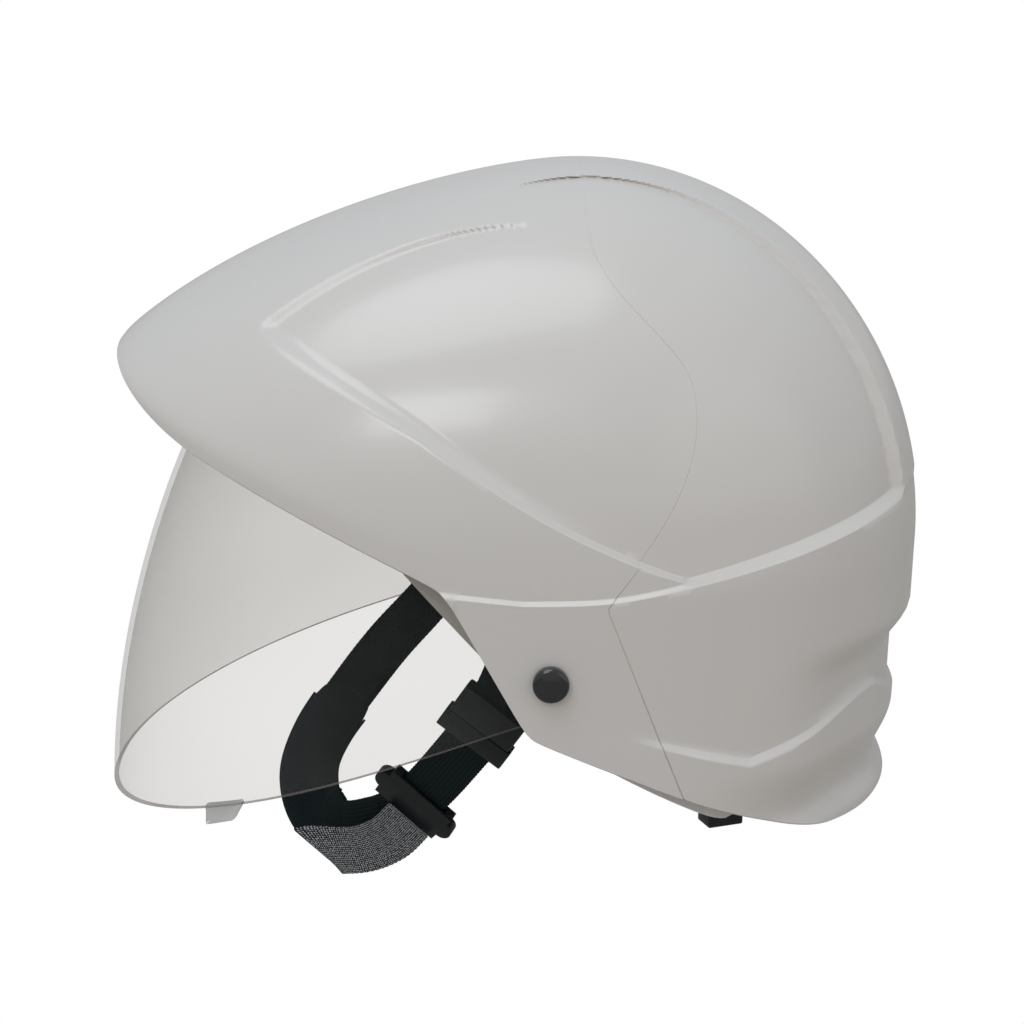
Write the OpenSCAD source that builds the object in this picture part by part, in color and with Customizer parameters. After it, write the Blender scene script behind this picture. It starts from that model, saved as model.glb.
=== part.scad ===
// Electrician's safety helmet with a retractable clear face shield.
// Frame: origin at the centre of the headband, front towards -Y, crown towards +Z,
// the wearer's left towards +X. Millimetres throughout.

/* [Outer shell] */
// Half width of the shell at the ears
shell_w = 116; // [114:0.5:118]
// Height of the crown above the dome's equator
shell_h = 137.5; // [136:0.5:140]
// Reach of the dome behind the crown
shell_back = 131.5; // [130:0.5:133]
// Reach of the dome and brim ahead of the crown
shell_front = 215; // [210:0.5:216]
// Wall thickness of the two outer shells
shell_t = 2.8; // [2.4:0.1:3.2]
// Height of the step between the crest and the side panels
crest_step = 4.5; // [0:0.5:5]
// How far the skirt stands out under the belt line
skirt_step = 1.5; // [0:0.5:2]
// Width of the joint between the front and the rear shell
seam_gap = 0.5; // [0.3:0.1:1]

/* [Face shield] */
// Half width of the shield at its hinged sides
visor_w = 108; // [106:0.5:109]
// Thickness of the clear sheet
visor_t = 2; // [1.5:0.1:2.2]
// Radius of the pivot pins
pin_r = 4; // [3:0.5:4.5]
// Radius of the black cap over each pivot
cap_r = 6.5; // [6:0.5:8]

/* [Inner shell] */
// Half width of the inner shell
liner_w = 100; // [98:0.5:101]
// Height of its crown above the dome's equator
liner_h = 114; // [110:1:116]
// Wall thickness of the inner shell
liner_t = 2.5; // [2:0.1:3]

/* [Harness] */
// Half width of the headband, outside
band_w = 80; // [76:1:82]
// Half length of the headband, outside
band_l = 99; // [94:1:101]
// Height of the headband
band_h = 28; // [26:1:30]
// Width of the webbing
web_w = 20; // [18:1:20]
// Thickness of the webbing
web_t = 1.6; // [1.2:0.1:1.8]

/* [Hidden] */
eps = 0.01;

// ---- dome: a superellipsoid about a vertical axis through the crown ----
dome_y = 13;
dome_z = 15;
front_fall = 1.5;
front_blunt = 2.35;
rear_blunt = 2.2;
cross_blunt = 2.25;
tip_h = 70;
pivot_y = 1.6;
pivot_z = -15.7;
hub_r = 15.4;

function smax(a, b, k) = (a + b + sqrt((a - b) * (a - b) + k * k)) / 2;
function smin(a, b, k) = (a + b - sqrt((a - b) * (a - b) + k * k)) / 2;
function clamp01(t) = min(1, max(0, t));
function smooth(a, b, v) = let (t = clamp01((v - a) / (b - a))) t * t * (3 - 2 * t);
function lerp(a, b, t) = a + (b - a) * t;
function unit(v) = v / norm(v);

// plan radius of a dome [front, back, width, height, brim lift] at plan angle phi
// (0 = front) and height z
function dome_rho(phi, z, d) =
    let (
        c = cos(phi),
        s = abs(sin(phi)),
        shoulder = dome_z + d[4] * (c > 0 ? c * c : 0),
        r = clamp01((smax(z, shoulder, 3) - dome_z) / d[3]),
        side = d[2] * pow(max(0, 1 - pow(r, cross_blunt)), 1 / cross_blunt),
        reach = c > 0 ? d[0] * pow(max(0, 1 - r * r), 1 / front_fall)
            : d[1] * sqrt(max(0, 1 - r * r)),
        n = c > 0 ? front_blunt : rear_blunt
    )
    reach < eps || side < eps ? eps : pow(pow(s / side, n) + pow(abs(c) / reach, n), -1 / n);

// height of a meridian point: an ellipse arc down to the equator, then straight on
function meridian_z(v, h) =
    v < 1 ? dome_z + h * cos(90 * v) : dome_z - (v - 1) * h * PI / 2;
function on_ray(phi, r, z) = [r * sin(phi), dome_y - r * cos(phi), z];

// ---- features of the outer shell, as outward offsets of the dome ----
outer_dome = [shell_front, shell_back, shell_w, shell_h, tip_h];
lining_dome = [
    shell_front - 2 * shell_t, shell_back - shell_t, shell_w - shell_t,
    shell_h - shell_t, tip_h - shell_t
];
function belt_z(y) = 12 + 0.2 * smax(y - 22, 0, 12) + 0.1 * max(0, -8 - y);
function crest_half(y) = 27.5 + (y < 20 ? 0.0046 : 0.0017) * (y - 20) * (y - 20);
function wing_top_x(y) = 57 + 0.0018 * (y + 20) * (y + 20);
function wing_low_z(y) = 18.5 + 0.54 * (50 - y) - 4.5 * sin(min(180, max(0, 1.9 * (50 - y))));
function side_recess(x, y, z) =
    let (
        above_belt = smooth(0, 3, z - belt_z(y)),
        above_wing = y > 60 ? 1 : smooth(0, 3.5, (z - wing_low_z(y)) / 1.14),
        crest = smooth(0, 5, abs(x) - crest_half(y)) * smooth(-46, 8, y),
        wing = smooth(0, 3.5, abs(x) - wing_top_x(y)) * smooth(-103, -97, y)
    )
    crest_step * above_belt * above_wing * max(crest, wing * lerp(0.7, 1, smooth(-90, 0, y)));
// nape profile below the belt: an overhang, a ledge and a flared hem
function ledge_z(y) =
    y < 72 ? -38.5 - 0.29 * (y - 41)
        : smin(-47.5 + 0.265 * (y - 72), -30 - 0.9 * (y - 127), 3);
function nape(y, z) =
    -7 * smooth(85, 125, y) * smooth(-11, -26, z)
    + 2.5 * smooth(0, -2.5, z - ledge_z(y)) * smooth(25, 60, y)
    + smooth(45, 120, y) * (-6 * smooth(-52, -72, z) + 4.5 * smooth(-72, -83, z));
function relief(x, y, z) =
    (skirt_step - 2.2 * smooth(70, 130, y)) * (1 - smooth(0, 2.5, z - belt_z(y)))
    - side_recess(x, y, z) + nape(y, z)
    - 0.03 * max(0, dome_z - z);
function skin_point(phi, z, d) =
    let (p = on_ray(phi, dome_rho(phi, z, outer_dome), z))
    on_ray(phi, max(eps, dome_rho(phi, z, d) + relief(p[0], p[1], z)), z);

// lower edge of the outer shells in side view: brim, cheek, then the nape's hem
function outer_edge(y) =
    let (
        brim = 19.5 - 0.475 * (y + 41) + 0.007 * pow(max(0, -y - 125), 2),
        cheek = -12 - 1.85 * (y + 19.7),
        hem = smax(-60 - 0.42 * (y - 48), -88 + 0.004 * pow(max(0, y - 98), 2), 6)
    )
    smin(brim, smax(cheek, hem, 3), 4);

// plan angle of the joint between the front and the rear shell
function seam_phi(z) =
    z < 11 ? 94 + 0.19 * (11 - z)
        : z < 83 ? 94 + 18 * sin(90 * (z - 11) / 72)
        : 112 - 20 * pow(sin(90 * min(1, (z - 83) / 55)), 2);
// plan angle across one shell: side 0 is the front piece, 1 the rear; u runs -1 to 1
function piece_phi(side, u, z, r, gap) =
    let (s = seam_phi(z), g = gap / max(2, r) * 180 / PI)
    side == 0 ? u * (s - g) : s + g + (u + 1) / 2 * (360 - 2 * s - 2 * g);
function above_edge(side, u, v) =
    let (z = meridian_z(v, shell_h), p = skin_point(piece_phi(side, u, z, 100, 0), z, outer_dome))
    z > outer_edge(p[1]);
function find_v(side, u, lo = 0.3, hi = 2.2, n = 16) =
    n == 0 ? lo
        : let (mid = (lo + hi) / 2)
          above_edge(side, u, mid) ? find_v(side, u, mid, hi, n - 1)
              : find_v(side, u, lo, mid, n - 1);

// ---- closed sheets: an outer and an inner grid of rows, joined round the rim ----
function cell_faces(a, b, c, d, flip) = flip ? [[a, b, c], [a, c, d]] : [[a, c, b], [a, d, c]];
function skin_faces(cols, rows, off, flip) = [
    for (j = [0 : rows - 2], i = [0 : cols - 2])
        let (a = off + j * cols + i)
        each cell_faces(a, a + 1, a + cols + 1, a + cols, flip)
];
function side_rims(cols, rows, n) = [
    for (i = [0, cols - 1], j = [0 : rows - 2])
        let (a = j * cols + i)
        each cell_faces(a, a + cols, a + cols + n, a + n, i == 0)
];
function end_rim(cols, row, n, flip) = [
    for (i = [0 : cols - 2])
        let (a = row * cols + i)
        each cell_faces(a, a + 1, a + 1 + n, a + n, flip)
];
module thick_patch(outer, inner) {
    rows = len(outer);
    cols = len(outer[0]);
    n = rows * cols;
    polyhedron(
        [for (r = concat(outer, inner)) each r],
        concat(
            skin_faces(cols, rows, 0, true), skin_faces(cols, rows, n, false),
            end_rim(cols, 0, n, false), end_rim(cols, rows - 1, n, true),
            side_rims(cols, rows, n)
        ),
        convexity = 8
    );
}
// the same, with the first row drawn together to a pole on each skin
module thick_fan(poles, outer, inner) {
    rows = len(outer);
    cols = len(outer[0]);
    n = rows * cols;
    p = 2 * n;
    q = 2 * n + 1;
    polyhedron(
        concat([for (r = concat(outer, inner)) each r], poles),
        concat(
            [for (i = [0 : cols - 2]) each [[p, i + 1, i], [q, n + i, n + i + 1]]],
            skin_faces(cols, rows, 0, true), skin_faces(cols, rows, n, false),
            end_rim(cols, rows - 1, n, true), side_rims(cols, rows, n),
            [[p, 0, n], [p, n, q], [p, n + cols - 1, cols - 1], [p, q, n + cols - 1]]
        ),
        convexity = 8
    );
}
// a full bowl: a pole on each skin and closed columns
module thick_bowl(poles, outer, inner) {
    rows = len(outer);
    cols = len(outer[0]);
    n = rows * cols;
    p = 2 * n;
    q = 2 * n + 1;
    function at(j, i) = j * cols + i % cols;
    polyhedron(
        concat([for (r = concat(outer, inner)) each r], poles),
        [
            for (i = [0 : cols - 1])
                let (a = at(0, i), b = at(0, i + 1), e = at(rows - 1, i), f = at(rows - 1, i + 1))
                each concat(
                    [[p, b, a], [q, n + a, n + b]],
                    cell_faces(e, f, f + n, e + n, true),
                    [
                        for (j = [0 : rows - 2])
                            let (c = at(j, i), d = at(j, i + 1), g = at(j + 1, i + 1), h = at(j + 1, i))
                            each concat(
                                cell_faces(c, d, g, h, true),
                                cell_faces(c + n, d + n, g + n, h + n, false)
                            )
                    ]
                )
        ],
        convexity = 8
    );
}
// webbing: a strip through rows of [centre, width direction], smoothed by a cubic
function cubic(a, b, c, d, t) =
    0.5 * (2 * b + (c - a) * t + (2 * a - 5 * b + 4 * c - d) * t * t
        + (3 * b - a - 3 * c + d) * t * t * t);
function strip_rows(rows, steps) =
    let (n = len(rows) - 1)
    [
        for (k = [0 : n * steps])
            let (
                i = min(n - 1, floor(k / steps)),
                t = k / steps - i,
                p0 = rows[max(0, i - 1)],
                p3 = rows[min(n, i + 2)]
            )
            [for (m = [0, 1]) cubic(p0[m], rows[i][m], rows[i + 1][m], p3[m], t)]
    ];
module strip(rows, w, t, steps = 4) {
    r = strip_rows(rows, steps);
    n = len(r);
    frames = [
        for (k = [0 : n - 1])
            let (
                d = unit(r[min(n - 1, k + 1)][0] - r[max(0, k - 1)][0]),
                side = unit(r[k][1] - (r[k][1] * d) * d),
                up = cross(d, side)
            )
            [r[k][0], side, up]
    ];
    function rail(a, b) = [for (f = frames) f[0] + f[1] * a * w / 2 + f[2] * b * t / 2];
    thick_patch([rail(1, 1), rail(-1, 1)], [rail(1, -1), rail(-1, -1)]);
}
module along_x(x0, x1, r, y, z, fn = 48) {
    translate([min(x0, x1), y, z]) rotate([0, 90, 0]) cylinder(r = r, h = abs(x1 - x0), $fn = fn);
}
module pivot_rod(x0, x1, r) {
    for (s = [-1, 1]) along_x(s * x0, s * x1, r, pivot_y, pivot_z);
}

// ---- outer shells ----
module outer_piece(side, cols, rows) {
    us = [for (i = [0 : cols - 1]) -1 + 2 * i / (cols - 1)];
    vs = [for (u = us) find_v(side, u)];
    function cell(i, j, d) =
        let (
            v = vs[i] * j / rows,
            z = meridian_z(v, shell_h) - (d == outer_dome ? 0 : max(0, shell_t * (1 - 4 * v))),
            r = dome_rho(90, z, outer_dome)
        )
        skin_point(piece_phi(side, us[i], z, r, seam_gap / 2), z, d);
    shift = side == 0 ? -seam_gap / 2 : seam_gap / 2;
    thick_fan(
        [
            [0, dome_y + shift, dome_z + shell_h],
            [0, dome_y + shift, dome_z + shell_h - shell_t]
        ],
        [for (j = [1 : rows]) [for (i = [0 : cols - 1]) cell(i, j, outer_dome)]],
        [for (j = [1 : rows]) [for (i = [0 : cols - 1]) cell(i, j, lining_dome)]]
    );
}
module front_shell() {
    color("gainsboro") difference() {
        union() {
            outer_piece(0, 61, 28);
            pivot_rod(110, 114.8, 9);
        }
        pivot_rod(105, 130, pin_r);
    }
}
module rear_shell() {
    color("gainsboro") outer_piece(1, 37, 28);
}
// lap strip bonded behind the joint of the two shells
module seam_strip() {
    v_end = find_v(0, 1);
    zs = [
        for (j = [27 : -1 : 4])
            let (v = v_end * j / 28)
            meridian_z(v, shell_h) - max(0, shell_t * (1 - 4 * v))
    ];
    function row(s, off, t) = [
        for (z = zs)
            let (
                r = dome_rho(seam_phi(z), z, lining_dome),
                phi = seam_phi(z) + off / max(20, r) * 180 / PI,
                p = skin_point(phi, z, lining_dome),
                q = on_ray(phi, max(1, norm([p[0], p[1] - dome_y]) - t), z - t * smooth(60, 150, z))
            )
            [s * q[0], q[1], q[2]]
    ];
    color("silver") for (s = [-1, 1]) {
        a = [for (o = [-6, 0, 6]) row(s, o, 1.1)];
        b = [for (o = [-6, 0, 6]) row(s, o, 2.7)];
        if (s > 0) thick_patch(a, b);
        else thick_patch(b, a);
    }
}

// ---- inner shell ----
liner_dome = [128, 118, liner_w, liner_h, 40];
liner_in_dome = [
    128 - liner_t, 118 - liner_t, liner_w - liner_t, liner_h - liner_t, 40
];
function liner_point(phi, z, d) =
    on_ray(phi, max(eps, dome_rho(phi, z, d) - 0.03 * max(0, dome_z - z)), z);
function liner_edge(y) =
    let (
        brow = 27 - 0.12 * (y + 60),
        cheek = -16 - 1.06 * (y + 20),
        low = smax(-58.5 - 0.55 * (y - 27), -80, 4),
        nape_arch = -80 + 1.9 * (y - 68)
    )
    smin(brow, smax(smax(cheek, low, 4), nape_arch, 5), 4);
function liner_v(phi, lo = 0.3, hi = 2.2, n = 16) =
    n == 0 ? lo
        : let (
            mid = (lo + hi) / 2,
            z = meridian_z(mid, liner_h),
            p = liner_point(phi, z, liner_dome)
        )
        z > liner_edge(p[1]) ? liner_v(phi, mid, hi, n - 1) : liner_v(phi, lo, mid, n - 1);
module inner_shell() {
    cols = 56;
    rows = 14;
    phis = [for (i = [0 : cols - 1]) 360 * i / cols];
    vs = [for (phi = phis) liner_v(phi)];
    function cell(i, j, d) =
        let (
            v = vs[i] * j / rows,
            z = meridian_z(v, liner_h) - (d == liner_dome ? 0 : max(0, liner_t * (1 - 4 * v)))
        )
        liner_point(phis[i], z, d);
    color("lightgray") difference() {
        union() {
            thick_bowl(
                [
                    [0, dome_y, dome_z + liner_h],
                    [0, dome_y, dome_z + liner_h - liner_t]
                ],
                [for (j = [1 : rows]) [for (i = [0 : cols - 1]) cell(i, j, liner_dome)]],
                [for (j = [1 : rows]) [for (i = [0 : cols - 1]) cell(i, j, liner_in_dome)]]
            );
            pivot_rod(95.9, 104.6, 9);
        }
        pivot_rod(90, 110, pin_r);
        for (s = [-1, 1]) along_x(s * 90, s * 110, 3, chin_y, chin_z);
    }
}
// blocks that hold the rear of the outer shell off the inner one
module rear_spacers() {
    color("dimgray") for (mid = [-152, -124, 124, 152]) {
        rows = [
            for (g = [0, 1]) [
                for (z = [38, 44, 50, 56]) [
                    for (k = [0 : 4])
                        let (phi = mid - 6 + 3 * k)
                        g == 0 ? outward(skin_point(phi, z, lining_dome), -2.4)
                            : outward(liner_point(phi, z, liner_dome), 0.5)
                ]
            ]
        ];
        thick_patch([for (i = [3, 2, 1, 0]) rows[0][i]], [for (i = [3, 2, 1, 0]) rows[1][i]]);
    }
}
function outward(p, t) =
    let (d = unit([p[0], p[1] - dome_y])) [p[0] + d[0] * t, p[1] + d[1] * t, p[2]];

// ---- face shield ----
// front radius of the shield about its pivots at angle a above the horizontal
function shield_r(a) = 152.5 + 0.0085 * pow(max(0, 25 - a), 2.14);
function shield_shape(a) =
    let (t = smooth(-24, 2, a))
    [lerp(66.6, 35, t), lerp(2.14, 2.2, t), lerp(110.5, visor_w, t)];
// column k of the profile: 0 to 1 round the front from the middle, 1 to 2 back along the side
function shield_xr(k, a) =
    let (
        s = shield_shape(a),
        hub_x = visor_w,
        x = k < 1 ? s[2] * pow(sin(90 * k), 2 / s[1]) : s[2],
        r = k < 1 ? s[0] + (shield_r(a) - s[0]) * pow(cos(90 * k), 2 / s[1])
            : lerp(s[0], 12, k - 1)
    )
    [k < 1 ? x : lerp(hub_x, x, smooth(18, 60, r)), r];
function shield_low(r) = -17.74 - asin(min(1, hub_r / r));
function shield_top(r) = 33 + asin(min(1, 12 / r));
function shield_at(k, u, inset, drop = 0) =
    let (
        r0 = shield_xr(k, -20)[1],
        r1 = shield_xr(k, shield_low(r0))[1],
        a0 = shield_low(r1) - drop,
        rt = shield_xr(k, 35)[1],
        a = lerp(a0, shield_top(rt), u),
        m = shield_xr(k, a),
        m2 = shield_xr(min(2, k + 0.01), a),
        m1 = shield_xr(max(0, k - 0.01), a),
        n = unit([m1[1] - m2[1], m2[0] - m1[0]]),
        x = m[0] - n[0] * inset,
        r = m[1] - n[1] * inset
    )
    [x, pivot_y - r * cos(a), pivot_z + r * sin(a)];
module visor() {
    ks = concat([for (i = [0 : 18]) i / 18], [for (i = [1 : 5]) 1 + i / 5]);
    n = len(ks) - 1;
    cols = [for (i = [-n : n]) [sign(i), ks[abs(i)]]];
    function p(c, u, inset) =
        let (q = shield_at(c[1], u, inset)) [(c[0] < 0 ? -1 : 1) * q[0], q[1], q[2]];
    rows = 10;
    color([0.85, 0.9, 0.92, 0.4]) difference() {
        union() {
            thick_patch(
                [for (j = [rows : -1 : 0]) [for (c = cols) p(c, j / rows, 0)]],
                [for (j = [rows : -1 : 0]) [for (c = cols) p(c, j / rows, visor_t)]]
            );
            pivot_rod(visor_w - visor_t - 0.12, visor_w + 0.12, hub_r + 1.25);
        }
        pivot_rod(90, 120, pin_r + 0.05);
    }
}
// finger tab fixed under the lower edge of the shield, wearer's left
tab_at = 0.62;
module finger_tab() {
    ks = [for (i = [0 : 4]) tab_at + 0.095 * i / 4];
    drops = [0.04, 1.1, 2.2];
    function row(d, inset) = [
        for (k = ks) shield_at(lerp(tab_at, k, 1 - 0.1 * d), 0, inset, d)
    ];
    color([0.85, 0.9, 0.92, 0.6])
        thick_patch([for (d = drops) row(d, -0.2)], [for (d = drops) row(d, visor_t + 0.2)]);
}
module pivot_pin(s) {
    color("dimgray") {
        along_x(s * 93, s * 119.6, pin_r, pivot_y, pivot_z);
    }
}
module pivot_pin_left() { pivot_pin(1); }
module pivot_pin_right() { pivot_pin(-1); }
module pivot_cap(s) {
    color("black") translate([s * 117.6, pivot_y, pivot_z]) rotate([0, s * 90, 0])
        rotate_extrude($fn = 64) polygon([
            [pin_r, 0], [cap_r, 0], [cap_r, 2.2], [cap_r - 0.6, 3.2], [cap_r - 2, 3.9],
            [cap_r - 4, 4.3], [0, 4.4], [0, 2], [pin_r, 2]
        ]);
}
module pivot_cap_left() { pivot_cap(1); }
module pivot_cap_right() { pivot_cap(-1); }
module pivot_washers() {
    color("dimgray") difference() {
        union() {
            pivot_rod(visor_w + 0.3, 109.8, 9);
            pivot_rod(104.8, visor_w - visor_t - 0.3, 9);
        }
        pivot_rod(90, 120, pin_r);
    }
}
module pivot_nuts() {
    color("silver") difference() {
        for (s = [-1, 1]) along_x(s * 93, s * 95.8, 7, pivot_y, pivot_z, 6);
        pivot_rod(90, 120, pin_r);
    }
}

// ---- harness: drawn level, then tipped back with the head ----
head_tilt = 20;
head_lift = 7;
module tipped() {
    rotate([-head_tilt, 0, 0]) translate([0, 0, head_lift]) children();
}
function tip(p) =
    let (z = p[2] + head_lift)
    [p[0], p[1] * cos(head_tilt) + z * sin(head_tilt), z * cos(head_tilt) - p[1] * sin(head_tilt)];
function oval_r(phi, a, b) = pow(pow(abs(sin(phi)) / a, 2.3) + pow(abs(cos(phi)) / b, 2.3), -1 / 2.3);
function oval(phi, a, b) = let (r = oval_r(phi, a, b)) [r * sin(phi), -r * cos(phi)];
function oval_yaw(phi, a, b) =
    let (p = oval(phi, a, b))
    atan2(sign(p[1]) * pow(abs(p[1]) / b, 1.3) / b, sign(p[0]) * pow(abs(p[0]) / a, 1.3) / a);
module oval_arc(phi0, phi1, a, b, t, z0, z1, n) {
    translate([0, 0, z0]) linear_extrude(z1 - z0) polygon(concat(
        [for (i = [0 : n]) oval(lerp(phi0, phi1, i / n), a, b)],
        [for (i = [n : -1 : 0]) oval(lerp(phi0, phi1, i / n), a - t, b - t)]
    ));
}
module headband() {
    color("black") tipped() oval_arc(-136, 136, band_w, band_l, 2.2, -band_h / 2, band_h / 2, 72);
}
module sweatband() {
    color("dimgray") tipped()
        oval_arc(-84, 84, band_w - 2.4, band_l - 2.4, 3.6, -band_h / 2 - 1, band_h / 2 + 1, 60);
}
hook_phi = [40, -40, 132, -132];
hook_z = 20;
function hook_foot(phi) = oval(phi, band_w + 0.4, band_l + 0.4);
module harness_hooks() {
    color("black") tipped() for (phi = hook_phi) {
        foot = hook_foot(phi);
        yaw = oval_yaw(phi, band_w, band_l);
        translate([foot[0], foot[1], 0]) rotate([0, 0, yaw]) {
            translate([0, -11, -9]) cube([3, 22, hook_z + 14]);
            translate([2.9, -8, hook_z]) cube([liner_gap(foot, yaw) - 3.6, 16, 5]);
        }
    }
}
// room on a hook's arm, from the headband out to the inner shell
function in_liner(p) =
    norm([p[0], p[1] - dome_y])
        < dome_rho(atan2(p[0], dome_y - p[1]), p[2], liner_in_dome) - 0.03 * max(0, dome_z - p[2]) - 0.5;
function liner_gap(foot, yaw) =
    max([
        for (t = [3 : 0.5 : 45])
            let (
                ends = [
                    for (w = [-8, 8], z = [hook_z, hook_z + 5])
                        tip([
                            foot[0] + t * cos(yaw) - w * sin(yaw),
                            foot[1] + t * sin(yaw) + w * cos(yaw), z
                        ])
                ]
            )
            if (in_liner(ends[0]) && in_liner(ends[1]) && in_liner(ends[2]) && in_liner(ends[3])) t
    ]);
strap_mid = [0, -9];
function crown_z(t) = 26 + 71 * (1 - pow(abs(t), 2.6));
module crown_strap(phi_a, phi_b, lift) {
    a = oval(phi_a, band_w + 0.6, band_l + 0.6);
    b = oval(phi_b, band_w + 0.6, band_l + 0.6);
    side = unit([-(b - a)[1], (b - a)[0], 0]);
    rows = [
        for (t = [-1 : 0.2 : 1.01])
            let (xy = t < 0 ? lerp(strap_mid, a, -t) : lerp(strap_mid, b, t))
            [[xy[0], xy[1], crown_z(t) + lift], side]
    ];
    color("dimgray") tipped() strip(rows, web_w, web_t, 3);
}
module crown_strap_a() { crown_strap(40, -132, 0); }
module crown_strap_b() { crown_strap(-40, 132, 2); }
module crown_pad() {
    top = [for (i = [0 : 6]) let (r = 34 * i / 6) [r, 95.3 - 71 * pow(r / 86, 2.6)]];
    low = [for (i = [6 : -1 : 0]) let (r = 33 * i / 6) [r, 89.5 - 71 * pow(r / 86, 2.6)]];
    color("gray") tipped() translate([strap_mid[0], strap_mid[1], 0])
        rotate_extrude($fn = 40) polygon(concat(top, [[34.6, 88]], low));
}

// ---- size adjuster at the nape ----
rack_z = -22;
rack_y = 100;
box_h = 13.8;
screw_z = [-12.4, 12.4];
pitch_r = 5;
function gear_tooth(a) = [
    for (p = [[3.9, -11], [5, -7], [5.7, -3.4], [5.7, 3.4], [5, 7], [3.9, 11]])
        [p[0] * cos(a + p[1]), p[0] * sin(a + p[1])]
];
module rack(side) {
    // side 1: upper rack of the left band; side -1: lower rack of the right band
    translate([0, rack_y + 1, rack_z]) rotate([90, 0, 0]) linear_extrude(2) scale([side, side])
        polygon(concat(
            [[-6, 9], [-6, 5.95]],
            [
                for (k = [-1 : 4])
                    each [
                        [PI * (k + 0.5) - 0.95, 5.95], [PI * (k + 0.5) - 0.35, 4.35],
                        [PI * (k + 0.5) + 0.35, 4.35], [PI * (k + 0.5) + 0.95, 5.95]
                    ]
            ],
            [[18, 5.95], [18, 9]]
        ));
}
module rear_band(side) {
    up = [0, 0, 1];
    rows = [
        [[70.2, 45, 0], up], [[62, 61.5, -3], up], [[53.5, 78, -8], up], [[46, 93, -13], up],
        [[38.5, 99.8, -14.5], up], [[27, 100, -14.5], up], [[16.5, 100, -14.5], up]
    ];
    function other(p) = [-p[0], p[1], p[2] - 15 * smooth(70, 38, p[0])];
    color("black") tipped() {
        rack(side);
        strip(side > 0 ? rows : [for (r = rows) [other(r[0]), up]], 6.2, 1.8);
    }
}
module rear_band_left() { rear_band(1); }
module rear_band_right() { rear_band(-1); }
module ratchet_housing() {
    color("black") tipped() difference() {
        translate([-27, 96, rack_z - box_h]) cube([54, 7.2, 2 * box_h]);
        translate([-30, 98.4, rack_z - 11]) cube([60, 6, 22]);
        translate([0, 94, rack_z]) rotate([-90, 0, 0]) cylinder(r = 2.05, h = 6, $fn = 32);
        screw_holes(0.9, 104);
    }
}
module screw_holes(r, y1) {
    for (x = [-23, 23], z = screw_z)
        translate([x, 97, rack_z + z]) rotate([-90, 0, 0]) cylinder(r = r, h = y1 - 97, $fn = 24);
}
module ratchet_cover() {
    color("black") tipped() difference() {
        translate([-27, 103.3, rack_z - box_h]) cube([54, 2.7, 2 * box_h]);
        translate([0, 100, rack_z]) rotate([-90, 0, 0]) cylinder(r = 3.05, h = 10, $fn = 40);
        screw_holes(0.9, 110);
    }
}
module ratchet_pinion() {
    color("silver") tipped() translate([0, 98.8, rack_z]) rotate([-90, 0, 0]) {
        linear_extrude(4) union() {
            circle(r = 3.95, $fn = 40);
            for (k = [0 : 9]) polygon(gear_tooth(90 + 36 * k));
        }
        translate([0, 0, -2.6]) cylinder(r = 2, h = 3, $fn = 32);
        translate([0, 0, 3.9]) cylinder(r = 3, h = 10, $fn = 40);
    }
}
module ratchet_knob() {
    color("black") tipped() translate([0, 106.5, rack_z]) rotate([-90, 0, 0]) difference() {
        linear_extrude(11) polygon([
            for (k = [0 : 95]) let (r = 16.2 + 0.8 * sign(sin(k * 360 * 8 / 32)) * 0.7)
                [r * cos(k * 3.75), r * sin(k * 3.75)]
        ]);
        translate([0, 0, -1]) cylinder(r = 3, h = 7.2, $fn = 40);
    }
}
module ratchet_screws() {
    color("silver") tipped() for (x = [-23, 23], z = screw_z)
        translate([x, 98, rack_z + z]) rotate([-90, 0, 0]) {
            cylinder(r = 0.9, h = 8.1, $fn = 24);
            translate([0, 0, 8.05]) cylinder(r = 2.2, h = 1.2, $fn = 24);
        }
}
module nape_pad() {
    color("gray") tipped() translate([0, 0, rack_z - 13]) linear_extrude(26)
        polygon([[-21, 95.8], [-21, 93.4], [-18, 91.4], [18, 91.4], [21, 93.4], [21, 95.8]]);
}
clip_at = [80.7, 65, -64];
clip_yaw = 21;
module nape_strap() {
    up = [0, 0.15, 1];
    half = [
        [[83, 60.4, -64], up], [[79.4, 69.6, -64], up], [[74, 80, -65.5], up],
        [[60, 93, -66.5], up], [[34, 102, -66], up]
    ];
    rows = concat(
        half, [[[0, 105.5, -65], up]],
        [for (i = [4 : -1 : 0]) [[-half[i][0][0], half[i][0][1], half[i][0][2]], up]]
    );
    color("black") strip(rows, 15, web_t, 3);
}
module nape_clips() {
    color("black") for (s = [-1, 1]) translate([s * clip_at[0], clip_at[1], clip_at[2]])
        rotate([0, 0, s * clip_yaw]) difference() {
            translate([-5, -7, -18]) cube([10, 14, 36]);
            translate([-2.4, -15, -9.5]) cube([4.8, 30, 19]);
        }
}

// ---- chin strap ----
chin_y = -8;
chin_z = -2;
function yz(a) = [0, cos(a), sin(a)];
module chin_rivet(s) {
    color("dimgray") {
        along_x(s * 88, s * 98.5, 3, chin_y, chin_z, 40);
        along_x(s * 86.4, s * 88.2, 5, chin_y, chin_z, 40);
    }
}
module chin_rivet_left() { chin_rivet(1); }
module chin_rivet_right() { chin_rivet(-1); }
right_rows = [
    [[-90.2, -10, -4], yz(-47)], [[-89.5, -18, -12], yz(-46)], [[-85, -33, -27], yz(-45)],
    [[-76, -47, -43], yz(-42)], [[-60, -64, -58], yz(-30)], [[-42, -78, -72], yz(-14)],
    [[-25, -89, -84], yz(-2)], [[-8, -94, -95], yz(14)], [[8, -90, -105], yz(40)],
    [[22, -78, -107], yz(75)], [[34, -64, -100], yz(105)], [[42, -54, -92.5], yz(128)]
];
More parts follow.
